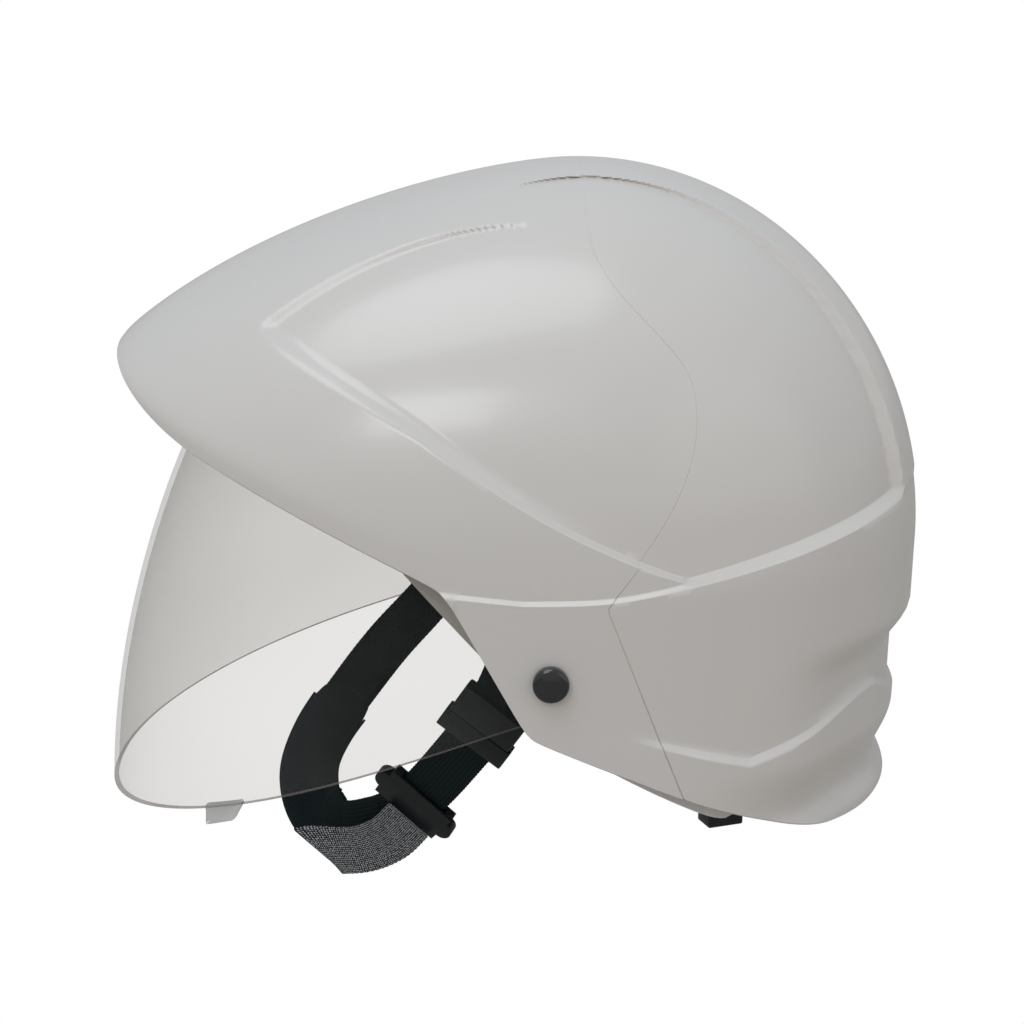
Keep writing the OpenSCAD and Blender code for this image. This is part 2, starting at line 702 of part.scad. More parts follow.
// the folded and sewn end of a strap, round its rivet
module eyelet(s) {
    along_x(s * (90.2 - web_t * 0.8), s * (90.2 + web_t * 0.8), 10, chin_y, chin_z, 48);
}
module chin_strap_right() {
    color("black") difference() {
        union() {
            strip(right_rows, web_w, web_t, 4);
            eyelet(-1);
        }
        along_x(-80, -100, 3.05, chin_y, chin_z);
    }
}
module chin_cup() {
    color("black") difference() {
        strip([for (i = [5 : 9]) right_rows[i]], web_w + 5, 5.4, 4);
        strip([for (i = [4 : 10]) right_rows[i]], web_w + 0.8, web_t + 0.8, 4);
    }
}
left_rows = [
    [[49, -45.5, -83], yz(130)], [[57, -39, -73], yz(128)], [[65, -33, -63], yz(126)],
    [[71.5, -27.5, -54], yz(124)]
];
module chin_strap_left() {
    color("black") strip(left_rows, web_w, web_t, 3);
}
anchor_rows = [
    [[80.5, -18.5, -38], yz(124)], [[86.5, -13, -24], yz(142)], [[90.1, -9.5, -11], yz(162)],
    [[90.2, -8, -2], yz(165)]
];
module anchor_strap_left() {
    color("black") difference() {
        union() {
            strip(anchor_rows, web_w, web_t, 4);
            eyelet(1);
        }
        along_x(80, 100, 3.05, chin_y, chin_z);
    }
}
module strap_tail() {
    rows = [
        [[47, -52, -95], yz(128)], [[41, -60, -105], yz(118)], [[35, -72, -112], yz(108)],
        [[30, -88, -114], yz(100)]
    ];
    color("dimgray") strip(rows, web_w, web_t, 4);
}
// a flat plastic fitting square to the strap: z runs along the strap, y across it
module on_strap(p, d, w) {
    z = unit(d);
    y = unit(w - (w * z) * z);
    x = cross(y, z);
    multmatrix([
        [x[0], y[0], z[0], p[0]], [x[1], y[1], z[1], p[1]], [x[2], y[2], z[2], p[2]], [0, 0, 0, 1]
    ]) children();
}
module ladder_lock() {
    color("black") on_strap([46, -49, -87.7], [15, 15, 19.5], yz(129)) difference() {
        union() {
            cube([5, 29, 15], center = true);
            for (s = [-1, 1]) translate([0, s * 14.5, 0]) rotate([0, 90, 0])
                cylinder(r = 4, h = 5, center = true, $fn = 40);
        }
        for (z = [-4.4, 4.4]) translate([0, 0, z]) cube([2.6, 21.4, 7.4], center = true);
        translate([3, 0, 0.5]) cube([4, 21, 1.6], center = true);
    }
}
buckle_p = [76, -23.2, -46.5];
buckle_d = [9, 9.2, 16];
module buckle_plug() {
    color("black") on_strap(buckle_p, buckle_d, yz(124)) {
        difference() {
            translate([-3, -14.5, -9.5]) cube([6, 29, 9]);
            translate([-1.3, -10.7, -12]) cube([2.6, 21.4, 6]);
            translate([1, -10.5, -5.6]) cube([4, 21, 1.6]);
        }
        for (y = [-9, 7]) translate([-1.2, y, -0.6]) cube([2.4, 2, 7.4]);
    }
}
module buckle_socket() {
    color("black") on_strap(buckle_p, buckle_d, yz(124)) difference() {
        translate([-3.2, -13.5, 0]) cube([6.4, 27, 14]);
        translate([-1.7, -11, -1]) cube([3.4, 22, 8.6]);
        translate([-1.3, -10.7, 8.6]) cube([2.6, 21.4, 8]);
    }
}

front_shell();
rear_shell();
seam_strip();
rear_spacers();
inner_shell();
visor();
finger_tab();
pivot_pin_left();
pivot_pin_right();
pivot_cap_left();
pivot_cap_right();
pivot_washers();
pivot_nuts();
headband();
sweatband();
harness_hooks();
crown_strap_a();
crown_strap_b();
crown_pad();
rear_band_left();
rear_band_right();
ratchet_housing();
ratchet_cover();
ratchet_pinion();
ratchet_knob();
ratchet_screws();
nape_pad();
nape_strap();
nape_clips();
chin_rivet_left();
chin_rivet_right();
chin_strap_right();
chin_strap_left();
anchor_strap_left();
strap_tail();
chin_cup();
ladder_lock();
buckle_socket();
buckle_plug();
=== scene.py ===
"""Looks for the electrician's helmet: dense shells, a clear shield, webbing and pads."""
import math

import bmesh
import bpy
import numpy as np
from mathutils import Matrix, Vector


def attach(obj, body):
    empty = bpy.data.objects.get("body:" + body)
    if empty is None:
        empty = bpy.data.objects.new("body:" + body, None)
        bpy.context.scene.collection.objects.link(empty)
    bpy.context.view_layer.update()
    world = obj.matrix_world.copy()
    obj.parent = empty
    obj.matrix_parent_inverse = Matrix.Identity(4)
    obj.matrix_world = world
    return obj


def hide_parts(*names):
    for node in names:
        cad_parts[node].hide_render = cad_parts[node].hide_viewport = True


MM = 0.001
DEG = math.pi / 180

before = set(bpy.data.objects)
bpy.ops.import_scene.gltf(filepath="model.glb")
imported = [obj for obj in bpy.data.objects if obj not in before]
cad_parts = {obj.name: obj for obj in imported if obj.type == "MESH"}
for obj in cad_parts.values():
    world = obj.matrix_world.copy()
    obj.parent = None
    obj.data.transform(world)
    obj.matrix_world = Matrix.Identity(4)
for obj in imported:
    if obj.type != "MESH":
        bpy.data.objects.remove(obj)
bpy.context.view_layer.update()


# ---------------------------------------------------------------- camera and light
def aim(obj, target):
    obj.rotation_euler = (Vector(target) - obj.location).to_track_quat("-Z", "Y").to_euler()


def add_camera():
    data = bpy.data.cameras.new("camera")
    data.lens, data.sensor_width = 90, 36
    data.clip_start, data.clip_end = 0.05, 100
    cam = bpy.data.objects.new("camera", data)
    bpy.context.scene.collection.objects.link(cam)
    elevation = 15 * DEG
    cam.location = (math.cos(elevation), -0.012, 0.015 + math.sin(elevation))
    aim(cam, (0, -0.012, 0.015))
    bpy.context.scene.camera = cam


def add_area(name, at, target, size, power, colour):
    data = bpy.data.lights.new(name, "AREA")
    data.shape, data.size, data.size_y = "RECTANGLE", size[0], size[1]
    data.energy, data.color = power, colour
    lamp = bpy.data.objects.new(name, data)
    bpy.context.scene.collection.objects.link(lamp)
    lamp.location = at
    aim(lamp, target)


def add_sun(name, direction, strength, angle, colour):
    data = bpy.data.lights.new(name, "SUN")
    data.energy, data.angle, data.color = strength, angle * DEG, colour
    lamp = bpy.data.objects.new(name, data)
    bpy.context.scene.collection.objects.link(lamp)
    lamp.location = Vector(direction)
    aim(lamp, (0, 0, 0))


def add_world():
    world = bpy.data.worlds.new("studio")
    bpy.context.scene.world = world
    world.use_nodes = True
    nt = world.node_tree
    nt.nodes.clear()
    out = nt.nodes.new("ShaderNodeOutputWorld")
    mix = nt.nodes.new("ShaderNodeMixShader")
    path = nt.nodes.new("ShaderNodeLightPath")
    room = nt.nodes.new("ShaderNodeBackground")
    seen = nt.nodes.new("ShaderNodeBackground")
    coord = nt.nodes.new("ShaderNodeTexCoord")
    split = nt.nodes.new("ShaderNodeSeparateXYZ")
    ramp = nt.nodes.new("ShaderNodeValToRGB")
    span = nt.nodes.new("ShaderNodeMapRange")
    span.inputs["From Min"].default_value = -1
    ramp.color_ramp.elements[0].position = 0.25
    ramp.color_ramp.elements[0].color = (0.53, 0.44, 0.375, 1)
    ramp.color_ramp.elements[1].position = 0.8
    ramp.color_ramp.elements[1].color = (0.53, 0.60, 0.66, 1)
    seen.inputs["Color"].default_value = (1, 1, 1, 1)
    seen.inputs["Strength"].default_value = 1.0
    link = nt.links.new
    link(coord.outputs["Generated"], split.inputs[0])
    link(split.outputs["Z"], span.inputs["Value"])
    link(span.outputs["Result"], ramp.inputs["Fac"])
    link(ramp.outputs["Color"], room.inputs["Color"])
    link(path.outputs["Is Camera Ray"], mix.inputs["Fac"])
    link(room.outputs[0], mix.inputs[1])
    link(seen.outputs[0], mix.inputs[2])
    link(mix.outputs[0], out.inputs["Surface"])


# ---------------------------------------------------------------- materials
class Nodes:
    """A material's node tree with short calls for the nodes used here."""

    def __init__(self, name, colour, rough, **sockets):
        self.mat = bpy.data.materials.new(name)
        self.mat.use_nodes = True
        self.nt = self.mat.node_tree
        self.nt.nodes.clear()
        self.out = self.add("OutputMaterial")
        self.bsdf = self.add("BsdfPrincipled")
        self.set(self.bsdf, "Base Color", (*colour, 1))
        self.set(self.bsdf, "Roughness", rough)
        for key, value in sockets.items():
            self.set(self.bsdf, key.replace("_", " "), value)
        self.link(self.bsdf.outputs[0], self.out.inputs["Surface"])

    def add(self, kind, **values):
        node = self.nt.nodes.new("ShaderNode" + kind)
        for key, value in values.items():
            setattr(node, key, value)
        return node

    def set(self, node, socket, value):
        node.inputs[socket].default_value = value

    def link(self, a, b):
        self.nt.links.new(a, b)

    def coord(self, kind="Object"):
        return self.add("TexCoord").outputs[kind]

    def noise(self, vector, scale, detail=3.0, rough=0.5):
        node = self.add("TexNoise")
        self.link(vector, node.inputs["Vector"])
        self.set(node, "Scale", scale)
        self.set(node, "Detail", detail)
        self.set(node, "Roughness", rough)
        return node.outputs["Fac"]

    def ramp(self, fac, stops):
        node = self.add("ValToRGB")
        ramp = node.color_ramp
        while len(ramp.elements) < len(stops):
            ramp.elements.new(0.5)
        for e, (pos, colour) in zip(ramp.elements, stops):
            e.position = pos
            e.color = (*colour, 1) if len(colour) == 3 else colour
        self.link(fac, node.inputs["Fac"])
        return node.outputs["Color"]

    def span(self, fac, lo, hi, from_lo=0.0, from_hi=1.0):
        node = self.add("MapRange")
        self.link(fac, node.inputs["Value"])
        for key, value in (("From Min", from_lo), ("From Max", from_hi), ("To Min", lo), ("To Max", hi)):
            self.set(node, key, value)
        return node.outputs["Result"]

    def maths(self, op, a, b=None):
        node = self.add("Math", operation=op)
        for i, v in enumerate((a, b)):
            if v is None:
                continue
            if isinstance(v, (int, float)):
                node.inputs[i].default_value = v
            else:
                self.link(v, node.inputs[i])
        return node.outputs[0]

    def mix(self, fac, a, b, blend="MIX"):
        node = self.add("Mix", data_type="RGBA", blend_type=blend)
        for socket, v in ((node.inputs[0], fac), (node.inputs[6], a), (node.inputs[7], b)):
            if isinstance(v, (int, float)):
                socket.default_value = v
            elif isinstance(v, tuple):
                socket.default_value = (*v, 1) if len(v) == 3 else v
            else:
                self.link(v, socket)
        return node.outputs[2]

    def bump(self, height, strength, distance, normal=None):
        node = self.add("Bump")
        self.set(node, "Strength", strength)
        self.set(node, "Distance", distance)
        self.link(height, node.inputs["Height"])
        if normal is not None:
            self.link(normal, node.inputs["Normal"])
        self.link(node.outputs[0], self.bsdf.inputs["Normal"])
        return node.outputs[0]

    def colour(self, output):
        self.link(output, self.bsdf.inputs["Base Color"])

    def rough(self, output):
        self.link(output, self.bsdf.inputs["Roughness"])


def shell_material():
    m = Nodes("shell_white", (0.6, 0.57, 0.54), 0.24, Specular_IOR_Level=0.5, Coat_Weight=0.25, Coat_Roughness=0.12)
    p = m.coord()
    cloud = m.noise(p, 9, 2)
    m.colour(m.ramp(cloud, [(0.2, (0.625, 0.578, 0.543)), (0.8, (0.64, 0.594, 0.56))]))
    m.rough(m.span(m.noise(p, 14, 2), 0.25, 0.28))
    m.bump(m.noise(p, 45, 1), 0.03, 0.0006)
    return m.mat


def liner_material():
    # Painted light: this white is set lighter than the shell's same white to make up for the shade inside the helmet;
    # the noise tone on it is random.
    m = Nodes("liner_grey", (0.72, 0.68, 0.64), 0.5)
    p = m.coord()
    m.colour(m.ramp(m.noise(p, 14, 2), [(0.3, (0.7, 0.655, 0.615)), (0.7, (0.76, 0.72, 0.68))]))
    m.rough(m.span(m.noise(p, 90, 3), 0.4, 0.6))
    m.bump(m.noise(p, 900, 2), 0.15, 0.0003)
    return m.mat


def plastic_material(name="black_plastic", colour=(0.006, 0.009, 0.01), rough=0.4):
    m = Nodes(name, colour, rough, Specular_IOR_Level=0.3)
    p = m.coord()
    light = tuple(c * 1.4 + 0.002 for c in colour)
    m.colour(m.ramp(m.noise(p, 40, 3), [(0.35, colour), (0.75, light)]))
    m.rough(m.span(m.noise(p, 130, 3), rough - 0.08, rough + 0.1))
    m.bump(m.noise(p, 1500, 2), 0.25, 0.0002)
    return m.mat


def gloss_material():
    m = Nodes("gloss_black", (0.006, 0.006, 0.007), 0.12, Coat_Weight=0.5, Coat_Roughness=0.05)
    p = m.coord()
    m.rough(m.span(m.noise(p, 200, 3), 0.08, 0.2))
    m.colour(m.ramp(m.noise(p, 120, 2), [(0.3, (0.005, 0.005, 0.006)), (0.8, (0.012, 0.012, 0.013))]))
    return m.mat


def steel_material():
    m = Nodes("steel", (0.5, 0.5, 0.5), 0.35, Metallic=1.0)
    p = m.coord()
    m.rough(m.span(m.noise(p, 300, 4), 0.25, 0.45))
    m.colour(m.ramp(m.noise(p, 80, 3), [(0.3, (0.42, 0.42, 0.43)), (0.7, (0.6, 0.6, 0.6))]))
    return m.mat


def woven(m, across, along, depth=0.0002, strength=0.6):
    """Ribbed webbing: rows of small picks across the strap, offset every other row."""
    uv = m.coord("UV")
    split = m.add("SeparateXYZ")
    m.link(uv, split.inputs[0])
    u = m.maths("MULTIPLY", split.outputs["X"], math.tau / across)
    v = m.maths("MULTIPLY", split.outputs["Y"], math.tau / along)
    su = m.maths("SINE", u)
    sv = m.maths("SINE", m.maths("ADD", v, m.maths("MULTIPLY", su, 0.9)))
    pick = m.maths("MULTIPLY", sv, m.maths("COSINE", u))
    height = m.span(m.maths("ADD", pick, m.maths("MULTIPLY", su, 0.5)), 0, 1, -1.5, 1.5)
    m.bump(height, strength, depth)
    return height, uv


def webbing_material():
    m = Nodes("webbing", (0.005, 0.01, 0.011), 0.8, Specular_IOR_Level=0.08, Sheen_Weight=0.015)
    height, uv = woven(m, 1.6, 1.1)
    # Painted shade and light: the colour follows the weave's bump height, darker in its low grooves and lighter on its
    # raised picks.
    m.colour(m.ramp(height, [(0.2, (0.003, 0.007, 0.008)), (0.85, (0.011, 0.019, 0.02))]))
    m.rough(m.span(height, 0.85, 0.65))
    return m.mat


def tail_material():
    m = Nodes("woven_tail", (0.1, 0.1, 0.1), 0.8, Specular_IOR_Level=0.1, Sheen_Weight=0.02)
    height, uv = woven(m, 1.5, 1.5, 0.0003, 0.8)
    fleck = m.add("TexVoronoi", feature="F1")
    m.link(uv, fleck.inputs["Vector"])
    m.set(fleck, "Scale", 1.25)
    m.set(fleck, "Randomness", 0.25)
    dots = m.ramp(fleck.outputs["Distance"], [(0.22, (0.62, 0.62, 0.64)), (0.42, (0.012, 0.014, 0.016))])
    m.colour(m.mix(m.span(height, 0, 0.35), dots, (0.02, 0.02, 0.022)))
    return m.mat


def fabric_material(name, low, high, scale):
    m = Nodes(name, low, 0.85, Specular_IOR_Level=0.1, Sheen_Weight=0.03)
    p = m.coord()
    cell = m.add("TexVoronoi", feature="F1")
    m.link(p, cell.inputs["Vector"])
    m.set(cell, "Scale", scale)
    d = cell.outputs["Distance"]
    m.colour(m.mix(m.span(m.noise(p, 60, 3), 0, 0.5), m.ramp(d, [(0.1, low), (0.6, high)]), low))
    m.bump(m.span(d, 1, 0, 0, 0.8), 0.5, 0.0003)
    return m.mat


def sheet_material():
    """Clear sheet: nearly all of the light goes through, and the rest mirrors."""
    m = Nodes("clear_sheet", (0.5, 0.49, 0.48), 0.06, Specular_IOR_Level=0.5)
    clear = m.add("BsdfTransparent")
    m.set(clear, "Color", (0.905, 0.9, 0.892, 1))
    facing = m.add("LayerWeight")
    m.set(facing, "Blend", 0.25)
    share = m.span(facing.outputs["Facing"], 0.01, 0.3)
    scuffs = m.span(m.noise(m.coord(), 22, 5, 0.6), 0.0, 0.012, 0.45, 0.8)
    mix = m.add("MixShader")
    m.link(m.maths("ADD", share, scuffs), mix.inputs[0])
    m.link(clear.outputs[0], mix.inputs[1])
    m.link(m.bsdf.outputs[0], mix.inputs[2])
    m.link(mix.outputs[0], m.out.inputs["Surface"])
    return m.mat


def edge_material():
    m = Nodes("clear_sheet_edge", (0.2, 0.16, 0.145), 0.25)
    clear = m.add("BsdfTransparent")
    m.set(clear, "Color", (0.72, 0.68, 0.67, 1))
    mix = m.add("MixShader")
    m.link(m.span(m.noise(m.coord(), 70, 3), 0.45, 0.75), mix.inputs[0])
    m.link(clear.outputs[0], mix.inputs[1])
    m.link(m.bsdf.outputs[0], mix.inputs[2])
    m.link(mix.outputs[0], m.out.inputs["Surface"])
    return m.mat


def floor_material():
    m = Nodes("floor", (0.42, 0.38, 0.34), 0.9)
    grain = m.noise(m.coord(), 3, 2)
    m.colour(m.ramp(grain, [(0.3, (0.4, 0.365, 0.33)), (0.7, (0.43, 0.395, 0.355))]))
    seen = m.add("Emission")
    m.set(seen, "Color", (1, 1, 1, 1))
    mix = m.add("MixShader")
    m.link(m.add("LightPath").outputs["Is Camera Ray"], mix.inputs[0])
    m.link(m.bsdf.outputs[0], mix.inputs[1])
    m.link(seen.outputs[0], mix.inputs[2])
    m.link(mix.outputs[0], m.out.inputs["Surface"])
    return m.mat


def thread_material():
    m = Nodes("thread", (0.02, 0.026, 0.027), 0.6, Specular_IOR_Level=0.15)
    m.colour(m.ramp(m.noise(m.coord(), 300, 2), [(0.3, (0.01, 0.015, 0.016)), (0.7, (0.018, 0.025, 0.026))]))
    return m.mat


def tab_material():
    m = Nodes("clear_sheet_tab", (0.5, 0.49, 0.48), 0.3)
    clear = m.add("BsdfTransparent")
    m.set(clear, "Color", (0.8, 0.79, 0.78, 1))
    mix = m.add("MixShader")
    m.link(m.span(m.noise(m.coord(), 120, 3), 0.35, 0.6), mix.inputs[0])
    m.link(clear.outputs[0], mix.inputs[1])
    m.link(m.bsdf.outputs[0], mix.inputs[2])
    m.link(mix.outputs[0], m.out.inputs["Surface"])
    return m.mat


MAT = {
    "thread": thread_material(),
    "tab": tab_material(),
    "shell": shell_material(),
    "liner": liner_material(),
    "plastic": plastic_material(),
    "gloss": gloss_material(),
    "steel": steel_material(),
    "webbing": webbing_material(),
    "tail": tail_material(),
    "foam": fabric_material("foam_fabric", (0.02, 0.02, 0.022), (0.06, 0.06, 0.065), 900),
    "cup": fabric_material("cup_fabric", (0.004, 0.008, 0.009), (0.01, 0.016, 0.017), 1100),
    "sheet": sheet_material(),
    "edge": edge_material(),
}


# ---------------------------------------------------------------- the helmet's surfaces
DOME_Y, DOME_Z = 13.0, 15.0
PIVOT_Y, PIVOT_Z, HUB_R = 1.6, -15.7, 15.4
OUTER = (215.0, 131.5, 116.0, 137.5, 70.0)
SHELL_T = 2.8
LINING = (OUTER[0] - 2 * SHELL_T, OUTER[1] - SHELL_T, OUTER[2] - SHELL_T, OUTER[3] - SHELL_T, OUTER[4] - SHELL_T)
LINER = (128.0, 118.0, 100.0, 114.0, 40.0)
LINER_T = 2.5
LINER_IN = tuple(v - LINER_T for v in LINER[:4]) + (40.0,)
CREST_STEP, SKIRT_STEP = 4.5, 1.5


def smax(a, b, k):
    return (a + b + np.sqrt((a - b) ** 2 + k * k)) / 2


def smin(a, b, k):
    return (a + b - np.sqrt((a - b) ** 2 + k * k)) / 2


def smooth(a, b, v):
    t = np.clip((v - a) / (b - a), 0, 1)
    return t * t * (3 - 2 * t)


def dome_rho(phi, z, d):
    c, s = np.cos(phi * DEG), np.abs(np.sin(phi * DEG))
    shoulder = DOME_Z + d[4] * np.where(c > 0, c * c, 0)
    r = np.clip((smax(z, shoulder, 3) - DOME_Z) / d[3], 0, 1)
    side = np.maximum(d[2] * np.maximum(1 - r**2.25, 0) ** (1 / 2.25), 1e-6)
    front = d[0] * np.maximum(1 - r * r, 0) ** (1 / 1.5)
    reach = np.maximum(np.where(c > 0, front, d[1] * np.sqrt(np.maximum(1 - r * r, 0))), 1e-6)
    n = np.where(c > 0, 2.35, 2.2)
    return ((s / side) ** n + (np.abs(c) / reach) ** n) ** (-1 / n)


def meridian_z(v, h):
    return np.where(v < 1, DOME_Z + h * np.cos(np.minimum(v, 1) * math.pi / 2), DOME_Z - (v - 1) * h * math.pi / 2)


def on_ray(phi, r, z):
    return np.stack([r * np.sin(phi * DEG), DOME_Y - r * np.cos(phi * DEG), z + 0 * r], -1)


def belt_z(y):
    return 12 + 0.2 * smax(y - 22, 0, 12) + 0.1 * np.maximum(0, -8 - y)


def crest_half(y):
    return 27.5 + np.where(y < 20, 0.0046, 0.0017) * (y - 20) ** 2


def wing_top_x(y):
    return 57 + 0.0018 * (y + 20) ** 2


def wing_low_z(y):
    return 18.5 + 0.54 * (50 - y) - 4.5 * np.sin(np.clip(1.9 * (50 - y), 0, 180) * DEG)


def ledge_z(y):
    return np.where(y < 72, -38.5 - 0.29 * (y - 41), smin(-47.5 + 0.265 * (y - 72), -30 - 0.9 * (y - 127), 3))


LEDGE_BEVEL = 2.6


def belt_bevel(y):
    return 1.6 + 2.0 * smooth(20, 130, y)


def wing_bevel(y):
    return 3.8 - 2.2 * smooth(-90, 40, y)


def ramp(t):
    """A bevel with small rounded ends: nearly straight between 0 and 1."""
    t = np.clip(t, 0, 1)
    return 0.75 * t + 0.25 * t * t * (3 - 2 * t)


def relief(x, y, z):
    bevel = belt_bevel(y)
    above_belt = ramp((z - belt_z(y)) / bevel)
    above_wing = np.where(y > 60, 1, ramp((z - wing_low_z(y)) / wing_bevel(y)))
    crest = smooth(0, 3.2, np.abs(x) - crest_half(y)) * smooth(-46, 8, y)
    wing = smooth(0, 4.2, np.abs(x) - wing_top_x(y)) * smooth(-103, -98.5, y)
    recess = CREST_STEP * above_belt * above_wing * np.maximum(crest, wing * (0.7 + 0.3 * smooth(-90, 0, y)))
    nape = (
        -7 * smooth(85, 125, y) * smooth(-11, -26, z)
        + 2.5 * ramp((ledge_z(y) - z) / LEDGE_BEVEL) * smooth(25, 60, y)
        + smooth(45, 120, y) * (-6 * smooth(-52, -72, z) + 4.5 * smooth(-72, -83, z))
    )
    skirt = (SKIRT_STEP - 2.2 * smooth(70, 130, y)) * (1 - ramp((z - belt_z(y)) / bevel))
    return skirt - recess + nape - 0.03 * np.maximum(0, DOME_Z - z)


def skin(phi, z, d):
    p = on_ray(phi, dome_rho(phi, z, OUTER), z)
    return on_ray(phi, np.maximum(0.01, dome_rho(phi, z, d) + relief(p[..., 0], p[..., 1], z)), z)


def outer_edge(y):
    brim = 19.5 - 0.475 * (y + 41) + 0.007 * np.maximum(0, -y - 125) ** 2
    cheek = -12 - 1.85 * (y + 19.7)
    hem = smax(-60 - 0.42 * (y - 48), -88 + 0.004 * np.maximum(0, y - 98) ** 2, 6)
    return smin(brim, smax(cheek, hem, 3), 4)


def seam_phi(z):
    low = 94 + 0.19 * (11 - z)
    mid = 94 + 18 * np.sin(np.clip((z - 11) / 72, 0, 1) * math.pi / 2)
    top = 112 - 20 * np.sin(np.clip((z - 83) / 55, 0, 1) * math.pi / 2) ** 2
    return np.where(z < 11, low, np.where(z < 83, mid, top))


def piece_phi(side, u, z, r, gap):
    s = seam_phi(z)
    g = gap / np.maximum(2, r) / DEG
    return u * (s - g) if side == 0 else s + g + (u + 1) / 2 * (360 - 2 * s - 2 * g)


def bisect(above, lo, hi, count):
    lo, hi = np.full(count, lo), np.full(count, hi)
    for _ in range(24):
        mid = (lo + hi) / 2
        up = above(mid)
        lo, hi = np.where(up, mid, lo), np.where(up, hi, mid)
    return lo


# ---------------------------------------------------------------- mesh making
def make(name, verts, faces, mats, smooth_angle=35, uv=None, face_mats=None):
    """An object from vertices in millimetres; doubled points are merged."""
    mesh = bpy.data.meshes.new(name)
    mesh.from_pydata((np.asarray(verts) * MM).tolist(), [], [list(map(int, f)) for f in faces])
    for m in mats:
        mesh.materials.append(m)
    if face_mats is not None:
        mesh.polygons.foreach_set("material_index", np.asarray(face_mats, np.int32))
    if uv is not None:
        layer = mesh.uv_layers.new(name="UVMap")
        index = np.zeros(len(mesh.loops), np.int32)
        mesh.loops.foreach_get("vertex_index", index)
        layer.data.foreach_set("uv", np.asarray(uv, np.float32)[index].ravel())
    bm = bmesh.new()
    bm.from_mesh(mesh)
    bmesh.ops.remove_doubles(bm, verts=bm.verts, dist=2e-6)
    bmesh.ops.recalc_face_normals(bm, faces=bm.faces)
    bm.to_mesh(mesh)
    bm.free()
    mesh.polygons.foreach_set("use_smooth", np.ones(len(mesh.polygons), bool))
    mesh.set_sharp_from_angle(angle=smooth_angle * DEG)
    obj = bpy.data.objects.new(name, mesh)
    bpy.context.scene.collection.objects.link(obj)
    return obj


def grid_faces(rows, cols, off=0, closed=False):
    j, i = np.meshgrid(np.arange(rows - 1), np.arange(cols if closed else cols - 1), indexing="ij")
    a = off + j * cols + i
    b = off + j * cols + (i + 1) % cols
    return np.stack([a, b, b + cols, a + cols], -1).reshape(-1, 4)


def rim_rows(outer, inner, bulge, steps=3):
    """Points that carry an outer edge row round to the inner one, half-round."""
    mid = (outer + inner) / 2
    half = (outer - inner) / 2
    return [mid + half * math.cos(math.pi * k / steps) + bulge * math.sin(math.pi * k / steps) for k in range(1, steps)]


def solid(name, outer, inner, mats, wrap=False, bulge=None, rim_mat=0, smooth_angle=35, open_top=False):
    """A closed sheet from two point grids (rows, cols, 3), with half-round rims."""
    rows, cols = outer.shape[:2]
    t = np.linalg.norm(outer - inner, axis=-1, keepdims=True) * 0.5
    grids = [outer.reshape(-1, 3), inner.reshape(-1, 3)]
    faces = [grid_faces(rows, cols, 0, wrap), grid_faces(rows, cols, rows * cols, wrap)[:, ::-1]]
    kinds = [np.zeros(len(faces[0])), np.zeros(len(faces[1]))]
    n = rows * cols

    def border(index_outer, next_in, closed):
        nonlocal n
        o, i = outer.reshape(-1, 3)[index_outer], inner.reshape(-1, 3)[index_outer]
        out_dir = o - outer.reshape(-1, 3)[next_in]
        out_dir /= np.maximum(np.linalg.norm(out_dir, axis=-1, keepdims=True), 1e-9)
        b = out_dir * np.linalg.norm(o - i, axis=-1, keepdims=True) * 0.5 * (bulge or 0.5)
        mids = rim_rows(o, i, b)
        loops = [index_outer]
        for m in mids:
            grids.append(m)
            loops.append(n + np.arange(len(m)))
            n += len(m)
        loops.append(index_outer + rows * cols)
        for p, q in zip(loops, loops[1:]):
            k = np.arange(len(p) if closed else len(p) - 1)
            k2 = (k + 1) % len(p)
            faces.append(np.stack([p[k], p[k2], q[k2], q[k]], -1))
            kinds.append(np.full(len(k), rim_mat))
        return loops

    n = 2 * rows * cols
    bottom = (rows - 1) * cols + np.arange(cols)
    border(bottom, bottom - cols, wrap)
    if open_top:
        top = np.arange(cols)
        border(top, top + cols, wrap)
    if not wrap:
        left = np.arange(rows) * cols
        border(left, left + 1, False)
        border(left + cols - 1, left + cols - 2, False)
    faces = np.concatenate(faces)
    return make(name, np.concatenate(grids), faces, mats, smooth_angle, face_mats=np.concatenate(kinds))


# ---------------------------------------------------------------- shells
def feature_rows(side, u, v_end):
    """Row heights that run along the wing, belt and ledge bevels, so these stay crisp."""

    def line(edge_z):
        def above(v):
            z = meridian_z(v, OUTER[3])
            return z > edge_z(skin(piece_phi(side, u, z, 100, 0), z, OUTER)[:, 1])

        return bisect(above, 0.3, 2.2, len(u))

    edges = [
        (line(lambda y: wing_low_z(y) + wing_bevel(y)), 90), (line(wing_low_z), 9),
        (line(lambda y: belt_z(y) + belt_bevel(y)), 22), (line(belt_z), 9),
        (line(ledge_z), 26), (line(lambda y: ledge_z(y) - LEDGE_BEVEL), 8), (v_end, 40),
    ]
    below = v_end
    stops = [v_end]
    for v, _ in edges[-2::-1]:
        below = np.minimum(v, below - 0.004)
        stops.insert(0, below)
    rows = [np.linspace(0.004, 1, edges[0][1], endpoint=False)[:, None] * stops[0][None, :]]
    for start, stop, (_, count) in zip(stops, stops[1:], edges[1:]):
        share = np.arange(count)[:, None] / count
        rows.append(start[None, :] * (1 - share) + stop[None, :] * share)
    return np.concatenate(rows + [v_end[None, :]])


